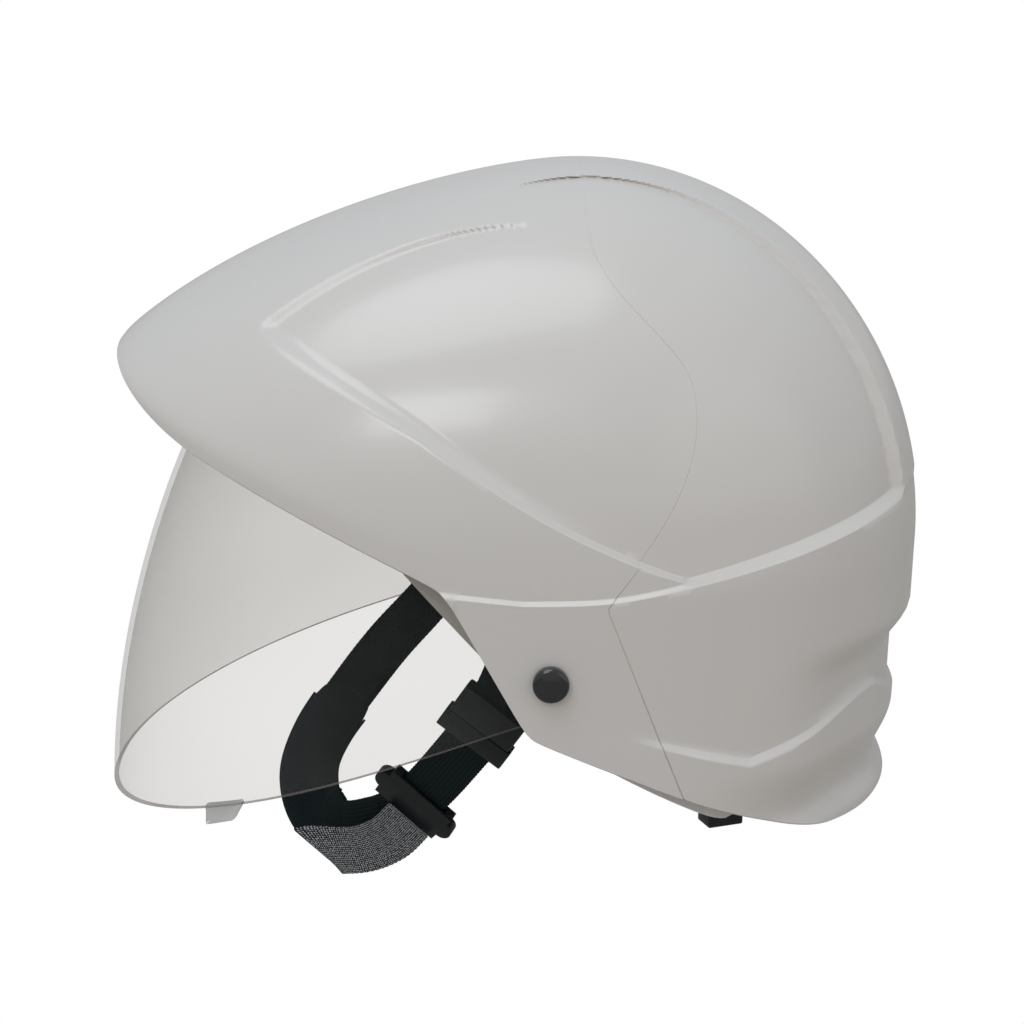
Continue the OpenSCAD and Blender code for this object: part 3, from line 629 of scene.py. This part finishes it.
def outer_shell(name, side, cols, node):
    u = np.linspace(-1, 1, cols)

    def above(v):
        z = meridian_z(v, OUTER[3])
        p = skin(piece_phi(side, u, z, 100, 0), z, OUTER)
        return z > outer_edge(p[:, 1])

    v = feature_rows(side, u, bisect(above, 0.3, 2.2, cols))
    z = meridian_z(v, OUTER[3])
    r = dome_rho(90, z, OUTER)
    gap = 0.12 + 0.2 * smooth(90, 0, z)
    phi = piece_phi(side, u[None, :], z, r, gap)
    outer = skin(phi, z, OUTER)
    z_in = z - np.maximum(0, SHELL_T * (1 - 4 * v))
    inner = skin(phi, z_in, LINING)
    obj = solid(name, outer, inner, [MAT["shell"]])
    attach(obj, "helmet")
    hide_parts(node)
    return obj


def liner_edge(y):
    brow = 27 - 0.12 * (y + 60)
    cheek = -16 - 1.06 * (y + 20)
    low = smax(-58.5 - 0.55 * (y - 27), -80, 4)
    arch = -80 + 1.9 * (y - 68)
    return smin(brow, smax(smax(cheek, low, 4), arch, 5), 4)


def liner_point(phi, z, d):
    return on_ray(phi, np.maximum(0.01, dome_rho(phi, z, d) - 0.03 * np.maximum(0, DOME_Z - z)), z)


def inner_shell():
    cols, rows = 300, 90
    phi = np.arange(cols) * 360.0 / cols

    def above(v):
        z = meridian_z(v, LINER[3])
        return z > liner_edge(liner_point(phi, z, LINER)[:, 1])

    v = bisect(above, 0.3, 2.2, cols)[None, :] * np.linspace(0.004, 1, rows)[:, None]
    z = meridian_z(v, LINER[3])
    phi = np.broadcast_to(phi[None, :], z.shape)
    outer = liner_point(phi, z, LINER)
    inner = liner_point(phi, z - np.maximum(0, LINER_T * (1 - 4 * v)), LINER_IN)
    obj = solid("inner_shell_skin", outer, inner, [MAT["liner"]], wrap=True)
    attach(obj, "helmet")
    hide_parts("inner_shell")


# ---------------------------------------------------------------- face shield
VISOR_W, VISOR_T = 108.0, 2.0


def shield_r(a):
    return 152.5 + 0.0085 * np.maximum(0, 25 - a) ** 2.14


def shield_xr(k, a):
    t = smooth(-24, 2, a)
    c, n, w = 66.6 + (35 - 66.6) * t, 2.14 + 0.06 * t, 110.5 + (VISOR_W - 110.5) * t
    q = np.clip(k, 0, 1) * math.pi / 2
    x = np.where(k < 1, w * np.sin(q) ** (2 / n), w)
    side_r = c + (12 - c) * (k - 1)
    r = np.where(k < 1, c + (shield_r(a) - c) * np.maximum(np.cos(q), 0) ** (2 / n), side_r)
    x = np.where(k < 1, x, VISOR_W + (x - VISOR_W) * smooth(18, 60, r))
    return x, r


def shield_low(r):
    return -17.74 - np.arcsin(np.minimum(1, HUB_R / r)) / DEG


def shield_at(k, u, inset, drop=0.0):
    r0 = shield_xr(k, -20)[1]
    r1 = shield_xr(k, shield_low(r0))[1]
    low = shield_low(r1) - drop
    top = 33 + np.arcsin(np.minimum(1, 12 / shield_xr(k, 35)[1])) / DEG
    a = low + (top - low) * u
    x, r = shield_xr(k, a)
    x2, r2 = shield_xr(np.minimum(2, k + 0.01), a)
    x1, r1 = shield_xr(np.maximum(0, k - 0.01), a)
    nx, nr = r1 - r2, x2 - x1
    size = np.hypot(nx, nr)
    x, r = x - nx / size * inset, r - nr / size * inset
    return np.stack([x, PIVOT_Y - r * np.cos(a * DEG), PIVOT_Z + r * np.sin(a * DEG)], -1)


def mirror_x(p, sign):
    return np.concatenate([p[..., :1] * sign[..., None], p[..., 1:]], -1)


def face_shield():
    half = np.concatenate([np.linspace(0, 1, 70), 1 + np.linspace(0, 1, 14)[1:]])
    k = np.concatenate([half[:0:-1], half])
    sign = np.concatenate([-np.ones(len(half) - 1), np.ones(len(half))])
    u = np.linspace(1, 0, 64)
    kk, uu = np.meshgrid(k, u)
    ss = np.broadcast_to(sign, kk.shape)
    outer = mirror_x(shield_at(kk, uu, 0.0), ss)
    inner = mirror_x(shield_at(kk, uu, VISOR_T), ss)
    return solid("face_shield_sheet", outer, inner, [MAT["sheet"], MAT["edge"]], rim_mat=1, open_top=True, bulge=0.3)


shell_front = outer_shell("front_shell_skin", 0, 441, "front_shell")
shell_rear = outer_shell("rear_shell_skin", 1, 241, "rear_shell")
inner_shell()
shield = face_shield()
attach(shield, "face_shield")
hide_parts("visor")

# ---------------------------------------------------------------- small makers
def place(obj, body, slot, *nodes):
    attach(obj, body)
    if nodes:
        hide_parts(*nodes)
    return obj


def lathe(name, profile, at, side, mats, segments=96):
    """A turned form about X from (radius, height) points, its open end towards the helmet."""
    prof = np.array(profile, float)
    a = np.arange(segments) * math.tau / segments
    r, h = prof[:, None, 0], prof[:, None, 1]
    grid = np.stack([side * (at[0] + h + 0 * a), at[1] + r * np.cos(a), at[2] + r * np.sin(a)], -1)
    faces = grid_faces(len(prof), segments, 0, True).tolist()
    faces.append(list(range(segments))[::-1])
    faces.append([(len(prof) - 1) * segments + i for i in range(segments)])
    return make(name, grid.reshape(-1, 3), faces, mats, 40)


def arc(cx, cy, r, a0, a1, n):
    t = np.linspace(a0, a1, n) * DEG
    return list(zip(cx + r * np.cos(t), cy + r * np.sin(t)))


def softened(name, node, body, slot, mat, width=0.5, segments=2, angle=30):
    """A hard part with its moulded edges rounded over."""
    bm = bmesh.new()
    bm.from_mesh(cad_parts[node].data)
    bmesh.ops.remove_doubles(bm, verts=bm.verts, dist=1e-6)
    bmesh.ops.dissolve_limit(bm, angle_limit=0.6 * DEG, verts=bm.verts, edges=bm.edges)
    sharp = [e for e in bm.edges if len(e.link_faces) == 2 and e.calc_face_angle(0) > angle * DEG]
    bmesh.ops.bevel(
        bm, geom=sharp, offset=width * MM, offset_type="OFFSET", segments=segments, profile=0.5,
        affect="EDGES", clamp_overlap=True,
    )
    bmesh.ops.recalc_face_normals(bm, faces=bm.faces)
    mesh = bpy.data.meshes.new(name)
    bm.to_mesh(mesh)
    bm.free()
    mesh.materials.append(mat)
    mesh.polygons.foreach_set("use_smooth", np.ones(len(mesh.polygons), bool))
    mesh.set_sharp_from_angle(angle=32 * DEG)
    obj = bpy.data.objects.new(name, mesh)
    bpy.context.scene.collection.objects.link(obj)
    return place(obj, body, slot, node)


# ---------------------------------------------------------------- webbing
def yz(a):
    return (0.0, math.cos(a * DEG), math.sin(a * DEG))


def cubic(a, b, c, d, t):
    return 0.5 * (2 * b + (c - a) * t + (2 * a - 5 * b + 4 * c - d) * t**2 + (3 * b - a - 3 * c + d) * t**3)


def unit(v):
    return v / np.maximum(np.linalg.norm(v, axis=-1, keepdims=True), 1e-9)


def centre_line(rows, steps):
    """Smoothed centres, width directions and flat normals along a strap."""
    rows = np.array(rows, float)
    n = len(rows) - 1
    points = []
    for i in range(n):
        ends = (max(0, i - 1), i, i + 1, min(n, i + 2))
        for k in range(steps + (i == n - 1)):
            t = k / steps
            points.append([cubic(*[rows[e][m] for e in ends], t) for m in (0, 1)])
    points = np.array(points)
    c = points[:, 0]
    d = unit(np.gradient(c, axis=0))
    side = unit(points[:, 1] - (points[:, 1] * d).sum(-1, keepdims=True) * d)
    return c, side, np.cross(d, side), d


def section(width, thick, across=11, round_steps=4, crown=0.0):
    """Outline of a strap's cross section: flat faces and rounded selvedges."""
    w, t = width / 2, thick / 2
    top = [(x, t + crown * (1 - (x / w) ** 2)) for x in np.linspace(-(w - t), w - t, across)]
    right = [(w - t + t * math.cos(a), t * math.sin(a)) for a in np.linspace(math.pi / 2, -math.pi / 2, round_steps + 2)[1:-1]]
    return np.array(top + right + [(-x, -y) for x, y in top + right])


def ribbon(name, rows, width, thick, mats, steps=26, crown=0.0, rib=0.12, taper=None, slant=0.0):
    """Webbing with rounded, finely scalloped selvedges; its UVs run in millimetres."""
    c, side, up, d = centre_line(rows, steps)
    run = np.concatenate([[0], np.cumsum(np.linalg.norm(np.diff(c, axis=0), axis=-1))])
    outline = section(width, thick, crown=crown)
    m = len(outline)
    scale = np.ones(len(c)) if taper is None else taper(run / run[-1])
    edge = (np.abs(outline[:, 0]) > width / 2 - thick / 2) * rib
    wave = np.sin(run * math.tau / 1.9)
    x = outline[None, :, 0] * scale[:, None] + np.sign(outline[:, 0]) * edge * wave[:, None]
    grid = c[:, None] + side[:, None] * x[..., None] + up[:, None] * outline[None, :, 1, None]
    cut = np.clip((run / run[-1] - 0.6) / 0.4, 0, 1) ** 2
    grid += d[:, None] * (slant * cut[:, None] * outline[None, :, 0])[..., None]
    girth = np.concatenate([[0], np.cumsum(np.linalg.norm(np.diff(outline, axis=0), axis=-1))])
    uv = np.stack(np.broadcast_arrays(girth[None, :], run[:, None]), -1).reshape(-1, 2)
    faces = grid_faces(len(c), m, 0, True).tolist()
    faces.append(list(range(m)))
    faces.append([(len(c) - 1) * m + i for i in range(m)][::-1])
    return make(name, grid.reshape(-1, 3), faces, mats, 60, uv=uv)


def stitches(name, lines, body, mat, length=2.0, radius=0.28):
    """Sewn thread: a small rounded bar for each stitch along (start, end, normal) lines."""
    verts, faces = [], []
    for start, end, normal in lines:
        start, end, normal = (np.array(v, float) for v in (start, end, normal))
        run = np.linalg.norm(end - start)
        d = (end - start) / run
        b = np.cross(normal, d)
        count = max(1, int(run / (length * 1.35)))
        for i in range(count):
            mid = start + d * run * (i + 0.5) / count
            base = len(verts)
            for a in np.linspace(-1, 1, 7):
                r = radius * math.sqrt(max(0.05, 1 - abs(a) ** 3))
                for q in range(8):
                    t = q * math.tau / 8
                    verts.append(mid + d * a * length / 2 + (b * math.cos(t) + normal * math.sin(t) * 0.8) * r)
            faces += (grid_faces(7, 8, base, True)).tolist()
            faces.append(list(range(base, base + 8))[::-1])
            faces.append(list(range(base + 48, base + 56)))
    return place(make(name, verts, faces, [mat], 50), body, "webbing")


def strap_frame(rows, at):
    """Centre, width direction, normal and run direction at a share of a strap's rows."""
    c, side, up, d = centre_line(rows, 30)
    i = int(at * (len(c) - 1))
    return c[i], side[i], up[i], d[i]


def box_stitch(rows, at, half_w, half_l, thick):
    """Lines of a sewn box with a cross in it, on both faces of a strap."""
    c, side, up, d = strap_frame(rows, at)
    lines = []
    for face in (1, -1):
        o = c + up * face * (thick / 2 + 0.08)
        k = [o + side * a * half_w + d * b * half_l for a, b in ((-1, -1), (1, -1), (1, 1), (-1, 1))]
        lines += [(k[i], k[(i + 1) % 4], up * face) for i in range(4)]
        lines += [(k[0], k[2], up * face), (k[1], k[3], up * face)]
    return lines


def disc_x(name, side, x0, x1, r, hole, mats, at):
    """An eyelet end: a flat ring about X with rounded rims."""
    e = 0.5
    prof = [(hole, x0 + e), (hole + e, x0), (r - e, x0), (r, x0 + e), (r, x1 - e), (r - e, x1), (hole + e, x1), (hole, x1 - e)]
    seg = 64
    a = np.arange(seg) * math.tau / seg
    p = np.array(prof)
    grid = np.stack(
        [side * (p[:, None, 1] + 0 * a), at[0] + p[:, None, 0] * np.cos(a), at[1] + p[:, None, 0] * np.sin(a)], -1
    )
    faces = np.concatenate([grid_faces(len(p), seg, 0, True)])
    last = (len(p) - 1) * seg
    k = np.arange(seg)
    close = np.stack([last + k, last + (k + 1) % seg, (k + 1) % seg, k], -1)
    return make(name, grid.reshape(-1, 3), np.concatenate([faces, close]), mats, 40)


WEB_W, WEB_T = 20.0, 1.6
CHIN = (-8.0, -2.0)
RIGHT_ROWS = [
    ((-90.2, -10, -4), yz(-47)), ((-89.5, -18, -12), yz(-46)), ((-85, -33, -27), yz(-45)),
    ((-76, -47, -43), yz(-42)), ((-60, -64, -58), yz(-30)), ((-42, -78, -72), yz(-14)),
    ((-25, -89, -84), yz(-2)), ((-8, -94, -95), yz(14)), ((8, -90, -105), yz(40)),
    ((22, -78, -107), yz(75)), ((34, -64, -100), yz(105)), ((42, -54, -92.5), yz(128)),
]
LEFT_ROWS = [
    ((49, -45.5, -83), yz(130)), ((57, -39, -73), yz(128)), ((65, -33, -63), yz(126)), ((71.5, -27.5, -54), yz(124)),
]
ANCHOR_ROWS = [
    ((80.5, -18.5, -38), yz(124)), ((86.5, -13, -24), yz(142)), ((90, -9.5, -11), yz(162)), ((90.2, -8, -2), yz(165)),
]
TAIL_ROWS = [
    ((47, -52, -95), yz(128)), ((41, -60, -105), yz(118)), ((35, -72, -112), yz(108)), ((30, -88, -114), yz(100)),
]


def chin_straps():
    web = [MAT["webbing"]]
    place(ribbon("chin_strap_far", RIGHT_ROWS, WEB_W, WEB_T, web), "strap", "webbing", "chin_strap_right")
    place(disc_x("far_strap_eyelet", -1, 89.4, 91.0, 10, 3.05, web, CHIN), "strap", "webbing")
    place(ribbon("chin_strap_near", LEFT_ROWS, WEB_W, WEB_T, web), "strap", "webbing", "chin_strap_left")
    place(ribbon("anchor_strap", ANCHOR_ROWS, WEB_W, WEB_T, web), "strap_left", "webbing", "anchor_strap_left")
    place(disc_x("anchor_eyelet", 1, 89.4, 91.0, 10, 3.05, web, CHIN), "strap_left", "webbing")

    def point(t):
        """The tail's free end is cut at a slant and sealed, so it narrows to a corner."""
        return 1 - 0.12 * np.clip((t - 0.93) / 0.07, 0, 1)

    tail = ribbon("strap_tail_weave", TAIL_ROWS, WEB_W, WEB_T + 0.2, [MAT["tail"]], 40, taper=point, slant=0.9)
    place(tail, "strap", "woven_tail", "strap_tail")
    lines = box_stitch(RIGHT_ROWS, 0.1, 7.5, 7, WEB_T) + box_stitch(RIGHT_ROWS, 0.955, 7.5, 3.5, WEB_T)
    stitches("strap_stitching", lines, "strap", MAT["thread"])
    stitches("anchor_stitching", box_stitch(ANCHOR_ROWS, 0.5, 7.5, 5.5, WEB_T), "strap_left", MAT["thread"])


# ---------------------------------------------------------------- harness
HEAD_TILT, HEAD_LIFT = 20.0, 7.0
BAND_W, BAND_L, BAND_H = 80.0, 99.0, 28.0
STRAP_MID = (0.0, -9.0)


def tip(p):
    """From the level harness to the helmet, tipped back with the head."""
    p = np.asarray(p, float)
    c, s = math.cos(HEAD_TILT * DEG), math.sin(HEAD_TILT * DEG)
    z = p[..., 2] + HEAD_LIFT
    return np.stack([p[..., 0], p[..., 1] * c + z * s, z * c - p[..., 1] * s], -1)


def oval(phi, a, b):
    s, c = np.sin(np.asarray(phi) * DEG), np.cos(np.asarray(phi) * DEG)
    r = ((np.abs(s) / a) ** 2.3 + (np.abs(c) / b) ** 2.3) ** (-1 / 2.3)
    return np.stack([r * s, -r * c], -1)


def crown_rows(phi_a, phi_b, lift):
    a, b = oval(phi_a, BAND_W + 0.6, BAND_L + 0.6), oval(phi_b, BAND_W + 0.6, BAND_L + 0.6)
    along = unit(b - a)
    side = np.array([-along[1], along[0], 0])
    rows = []
    for t in np.linspace(-1, 1, 11):
        xy = np.array(STRAP_MID) + (np.array(a if t < 0 else b) - STRAP_MID) * abs(t)
        z = 26 + 71 * (1 - abs(t) ** 2.6) + lift
        here = np.array([*xy, z])
        rows.append((tip(here), tip(here + side) - tip(here)))
    return rows


def nape_rows():
    up = (0, 0.15, 1)
    half = [(83, 60.4, -64), (79.4, 69.6, -64), (74, 80, -65.5), (60, 93, -66.5), (34, 102, -66)]
    return [(p, up) for p in half] + [((0, 105.5, -65), up)] + [((-x, y, z), up) for x, y, z in half[::-1]]


def harness_webbing():
    web = [MAT["webbing"]]
    place(ribbon("crown_strap_left", crown_rows(40, -132, 0), WEB_W, WEB_T, web, 10), "helmet", "webbing", "crown_strap_a")
    place(ribbon("crown_strap_right", crown_rows(-40, 132, 2), WEB_W, WEB_T, web, 10), "helmet", "webbing", "crown_strap_b")
    place(ribbon("nape_strap_web", nape_rows(), 15, WEB_T, web, 14), "helmet", "webbing", "nape_strap")
    lines = []
    for rows in (crown_rows(40, -132, 0), crown_rows(-40, 132, 2)):
        for at in (0.07, 0.93):
            lines += box_stitch(rows, at, 7.5, 5, WEB_T)
    stitches("crown_stitching", lines, "helmet", MAT["thread"])


# ---------------------------------------------------------------- pads
def closed_pad(name, centre, across, normal, half_w, half_t, mats, power=2.6, girth=28):
    """A padded bar along a path: a rounded section, drawn together at both ends."""
    n = len(centre)
    t = np.linspace(-1, 1, n)
    end = (1 - np.abs(t) ** 10) ** 0.5
    a = np.arange(girth) * math.tau / girth
    x = np.sign(np.cos(a)) * np.abs(np.cos(a)) ** (2 / power)
    y = np.sign(np.sin(a)) * np.abs(np.sin(a)) ** (2 / power)
    w = half_w * np.maximum(0.05, end)[:, None] * x
    h = half_t * np.maximum(0.08, end)[:, None] * y
    grid = centre[:, None] + across[:, None] * w[..., None] + normal[:, None] * h[..., None]
    faces = grid_faces(n, girth, 0, True).tolist()
    faces.append(list(range(girth)))
    faces.append([(n - 1) * girth + i for i in range(girth)][::-1])
    return make(name, grid.reshape(-1, 3), faces, mats, 80)


def inflate(obj, voxel, cap, pressure=4.0):
    """Fill a slack pad with a short cloth run, no point going further than the cap (mm)."""
    scene = bpy.context.scene
    remesh = obj.modifiers.new("even", "REMESH")
    remesh.mode, remesh.voxel_size = "VOXEL", voxel * MM
    bpy.context.view_layer.update()
    deps = bpy.context.evaluated_depsgraph_get()
    even = bpy.data.meshes.new_from_object(obj.evaluated_get(deps))
    obj.modifiers.remove(remesh)
    materials = list(obj.data.materials)
    obj.data = even
    even.materials.clear()
    for m in materials:
        even.materials.append(m)
    start = np.zeros(len(even.vertices) * 3)
    even.vertices.foreach_get("co", start)
    start = start.reshape(-1, 3)
    cloth = obj.modifiers.new("fill", "CLOTH")
    cloth.settings.use_pressure = True
    cloth.settings.uniform_pressure_force = pressure
    cloth.settings.effector_weights.gravity = 0
    cloth.settings.tension_stiffness = 12
    cloth.settings.compression_stiffness = 12
    for f in range(1, 21):
        scene.frame_set(f)
    deps = bpy.context.evaluated_depsgraph_get()
    end = np.zeros(len(start) * 3)
    obj.evaluated_get(deps).data.vertices.foreach_get("co", end)
    move = end.reshape(-1, 3) - start
    size = np.linalg.norm(move, axis=-1, keepdims=True)
    move *= np.minimum(1, cap * MM / np.maximum(size, 1e-9))
    obj.modifiers.remove(cloth)
    even.vertices.foreach_set("co", (start + move).ravel())
    scene.frame_set(1)
    subdivide(obj)


def subdivide(obj, levels=1):
    sub = obj.modifiers.new("round", "SUBSURF")
    sub.levels = sub.render_levels = levels
    bpy.context.view_layer.update()
    deps = bpy.context.evaluated_depsgraph_get()
    mesh = bpy.data.meshes.new_from_object(obj.evaluated_get(deps))
    obj.modifiers.remove(sub)
    obj.data = mesh
    mesh.polygons.foreach_set("use_smooth", np.ones(len(mesh.polygons), bool))


def piping(name, path, radius, mat, body, slot, closed=False, girth=10):
    """A sewn seam cord along a path."""
    path = np.asarray(path, float)
    d = unit(np.gradient(path, axis=0))
    if closed:
        d = unit(np.roll(path, -1, 0) - np.roll(path, 1, 0))
    ref = np.array([0.31, 0.27, 0.91])
    b = unit(np.cross(d, ref))
    n = np.cross(b, d)
    a = np.arange(girth) * math.tau / girth
    grid = path[:, None] + radius * (b[:, None] * np.cos(a)[None, :, None] + n[:, None] * np.sin(a)[None, :, None])
    rows = len(path)
    faces = grid_faces(rows, girth, 0, True).tolist()
    if closed:
        last = (rows - 1) * girth
        faces += [[last + i, last + (i + 1) % girth, (i + 1) % girth, i] for i in range(girth)]
    else:
        faces.append(list(range(girth)))
        faces.append([(rows - 1) * girth + i for i in range(girth)][::-1])
    return place(make(name, grid.reshape(-1, 3), faces, [mat], 60), body, slot)


def pads():
    foam, cup = [MAT["foam"]], [MAT["cup"]]
    # chin cup: a padded sleeve round the strap
    c, side, up, d = centre_line(RIGHT_ROWS[5:10], 12)
    pad = closed_pad("chin_cup_pad", c, side, up, (WEB_W + 5) / 2 - 0.4, 2.1, cup, 3.4, 40)
    inflate(pad, 1.3, 0.7)
    place(pad, "strap", "cup_fabric", "chin_cup")
    for s, label in ((1, "upper"), (-1, "lower")):
        edge = (c + side * s * ((WEB_W + 5) / 2 - 0.5))[6:-6]
        piping("chin_cup_%s_seam" % label, edge, 0.55, MAT["cup"], "strap", "cup_fabric")
    # sweatband inside the headband
    phi = np.linspace(-84, 84, 150)
    mid = oval(phi, BAND_W - 2.4 - 1.8, BAND_L - 2.4 - 1.8)
    level = np.concatenate([mid, 0 * mid[:, :1]], -1)
    along = unit(np.gradient(level, axis=0))
    out = np.stack([along[:, 1], -along[:, 0], 0 * along[:, 0]], -1)
    centre = tip(level)
    zero = tip(np.zeros(3))
    pad = closed_pad(
        "sweatband_pad", centre, np.tile(tip(np.array([0, 0, 1.0])) - zero, (150, 1)), tip(out) - zero,
        BAND_H / 2 - 0.2, 1.3, foam, 4, 44,
    )
    inflate(pad, 1.7, 0.5)
    place(pad, "helmet", "foam_fabric", "sweatband")
    # crown pad: a round cushion under the crossing straps
    rings, seg = 16, 72
    r = np.sin(np.linspace(0.04, 1, rings) * math.pi / 2) * 32.5
    a = np.arange(seg) * math.tau / seg
    rr = np.concatenate([r, r[::-1]])
    flat = 71 * (rr / 86) ** 2.6
    swell = 2.2 * np.sqrt(np.maximum(0.0, 1 - (rr / 32.9) ** 4))
    z = 92.2 - flat + np.concatenate([swell[:rings], -swell[rings:]])
    grid = np.stack(np.broadcast_arrays(
        STRAP_MID[0] + rr[:, None] * np.cos(a), STRAP_MID[1] + rr[:, None] * np.sin(a), z[:, None]), -1)
    faces = grid_faces(2 * rings, seg, 0, True).tolist()
    faces.append(list(range(seg))[::-1])
    faces.append([(2 * rings - 1) * seg + i for i in range(seg)])
    pad = make("crown_pad_cushion", tip(grid).reshape(-1, 3), faces, foam, 80)
    inflate(pad, 2.2, 0.9)
    place(pad, "helmet", "foam_fabric", "crown_pad")
    ring = np.stack([
        STRAP_MID[0] + 33.4 * np.cos(a), STRAP_MID[1] + 33.4 * np.sin(a),
        np.full(seg, 92.2 - 71 * (33.4 / 86) ** 2.6)], -1)
    piping("crown_pad_seam", tip(ring), 0.8, MAT["foam"], "helmet", "foam_fabric", True)
    # nape pad on the ratchet's housing
    y0, y1, rack_z = 91.6, 95.7, -22.0
    x = np.linspace(-20.3, 20.3, 44)
    level = np.stack([x, 0 * x + (y0 + y1) / 2, 0 * x + rack_z], -1)
    zeros = np.zeros(3)
    pad = closed_pad(
        "nape_pad_cushion", tip(level), np.tile(tip(np.array([0, 0, 1.0])) - tip(zeros), (44, 1)),
        np.tile(tip(np.array([0, 1.0, 0])) - tip(zeros), (44, 1)), 12.4, 1.6, foam, 3.6, 36,
    )
    inflate(pad, 1.5, 0.5)
    place(pad, "helmet", "foam_fabric", "nape_pad")


# ---------------------------------------------------------------- hard fittings
def pivot_buttons():
    """Black press-on caps with a rounded rim and a shallow dished crown."""
    profile = [(6.5, 0), (6.5, 1.6)] + arc(5.1, 1.6 + 0.9, 1.4, -20, 88, 12)[2:]
    profile = [(6.5, 0.0), (6.5, 1.9)] + arc(4.9, 1.9, 1.6, 0, 80, 10)[1:] + [(4.4, 3.62), (3.2, 3.9), (1.6, 4.15), (0.4, 4.2)]
    for side, label, node in ((1, "left", "pivot_cap_left"), (-1, "right", "pivot_cap_right")):
        obj = lathe("pivot_button_" + label, profile, (117.6, PIVOT_Y, PIVOT_Z), side, [MAT["gloss"]])
        place(obj, "helmet", "gloss_black", node)


def shield_fittings():
    """Hub rings of the shield and the finger tab on its lower edge."""
    for side, label in ((1, "left"), (-1, "right")):
        hub = disc_x("shield_hub_" + label, side, VISOR_W - VISOR_T, VISOR_W, HUB_R, 4.05, [MAT["sheet"]], (PIVOT_Y, PIVOT_Z))
        place(hub, "face_shield", "clear_sheet")
    k = np.linspace(0.622, 0.713, 15)
    drops = np.linspace(-0.3, 2.1, 12)
    outer, inner = [], []
    for drop in drops:
        share = max(0.0, drop) / 2.1
        kk = k[0] + (k - k[0]) * (1 - 0.24 * share)
        flare = 0.9 * share**2
        outer.append(shield_at(kk, 0 * kk, -0.15 - flare, drop))
        inner.append(shield_at(kk, 0 * kk, VISOR_T + 0.15 - flare, drop))
    tab = solid("shield_finger_tab", np.array(outer), np.array(inner), [MAT["tab"]], bulge=0.6, open_top=True)
    place(tab, "face_shield", "clear_sheet", "finger_tab")


def hard_fittings():
    parts = [
        ("ladder_lock", "strap", 0.9, 3), ("buckle_plug", "strap", 0.5, 2), ("buckle_socket", "strap_left", 0.9, 3),
        ("nape_clips", "helmet", 0.8, 3), ("harness_hooks", "helmet", 0.7, 2), ("ratchet_housing", "helmet", 0.6, 2),
        ("ratchet_cover", "helmet", 0.6, 2), ("ratchet_knob", "ratchet", 0.5, 2), ("headband", "helmet", 0.5, 2),
        ("rear_spacers", "helmet", 0.5, 2),
    ]
    for node, body, width, segments in parts:
        softened(node + "_moulding", node, body, "black_plastic", MAT["plastic"], width, segments)


chin_straps()
harness_webbing()
pads()
pivot_buttons()
shield_fittings()
hard_fittings()

CAD_MATERIALS = {
    "liner": ["seam_strip"],
    "steel": ["pivot_pin_left", "pivot_pin_right", "pivot_nuts", "ratchet_screws"],
    "plastic": [
        "pivot_washers", "rear_band_left", "rear_band_right", "ratchet_pinion", "chin_rivet_left", "chin_rivet_right",
    ],
}
for key, nodes in CAD_MATERIALS.items():
    for node in nodes:
        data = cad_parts[node].data
        data.materials.clear()
        data.materials.append(MAT[key])

# ---------------------------------------------------------------- stage
mesh = bpy.data.meshes.new("floor")
mesh.from_pydata([(-14, -14, -0.5), (14, -14, -0.5), (14, 14, -0.5), (-14, 14, -0.5)], [], [(0, 1, 2, 3)])
mesh.materials.append(floor_material())
floor = bpy.data.objects.new("floor", mesh)
bpy.context.scene.collection.objects.link(floor)
add_camera()
add_world()
add_sun("key_sun", (0.35, -0.25, 1.0), 0.9, 40, (0.93, 0.98, 1.0))
add_sun("rear_fill", (0.7, 0.8, 0.15), 0.3, 60, (1.0, 0.97, 0.93))
add_area("softbox", (1.3, -0.35, 0.75), (0, -0.02, 0.03), (0.5, 0.3), 2.5, (0.96, 1.0, 1.0))
bpy.context.scene.view_settings.view_transform = "Standard"
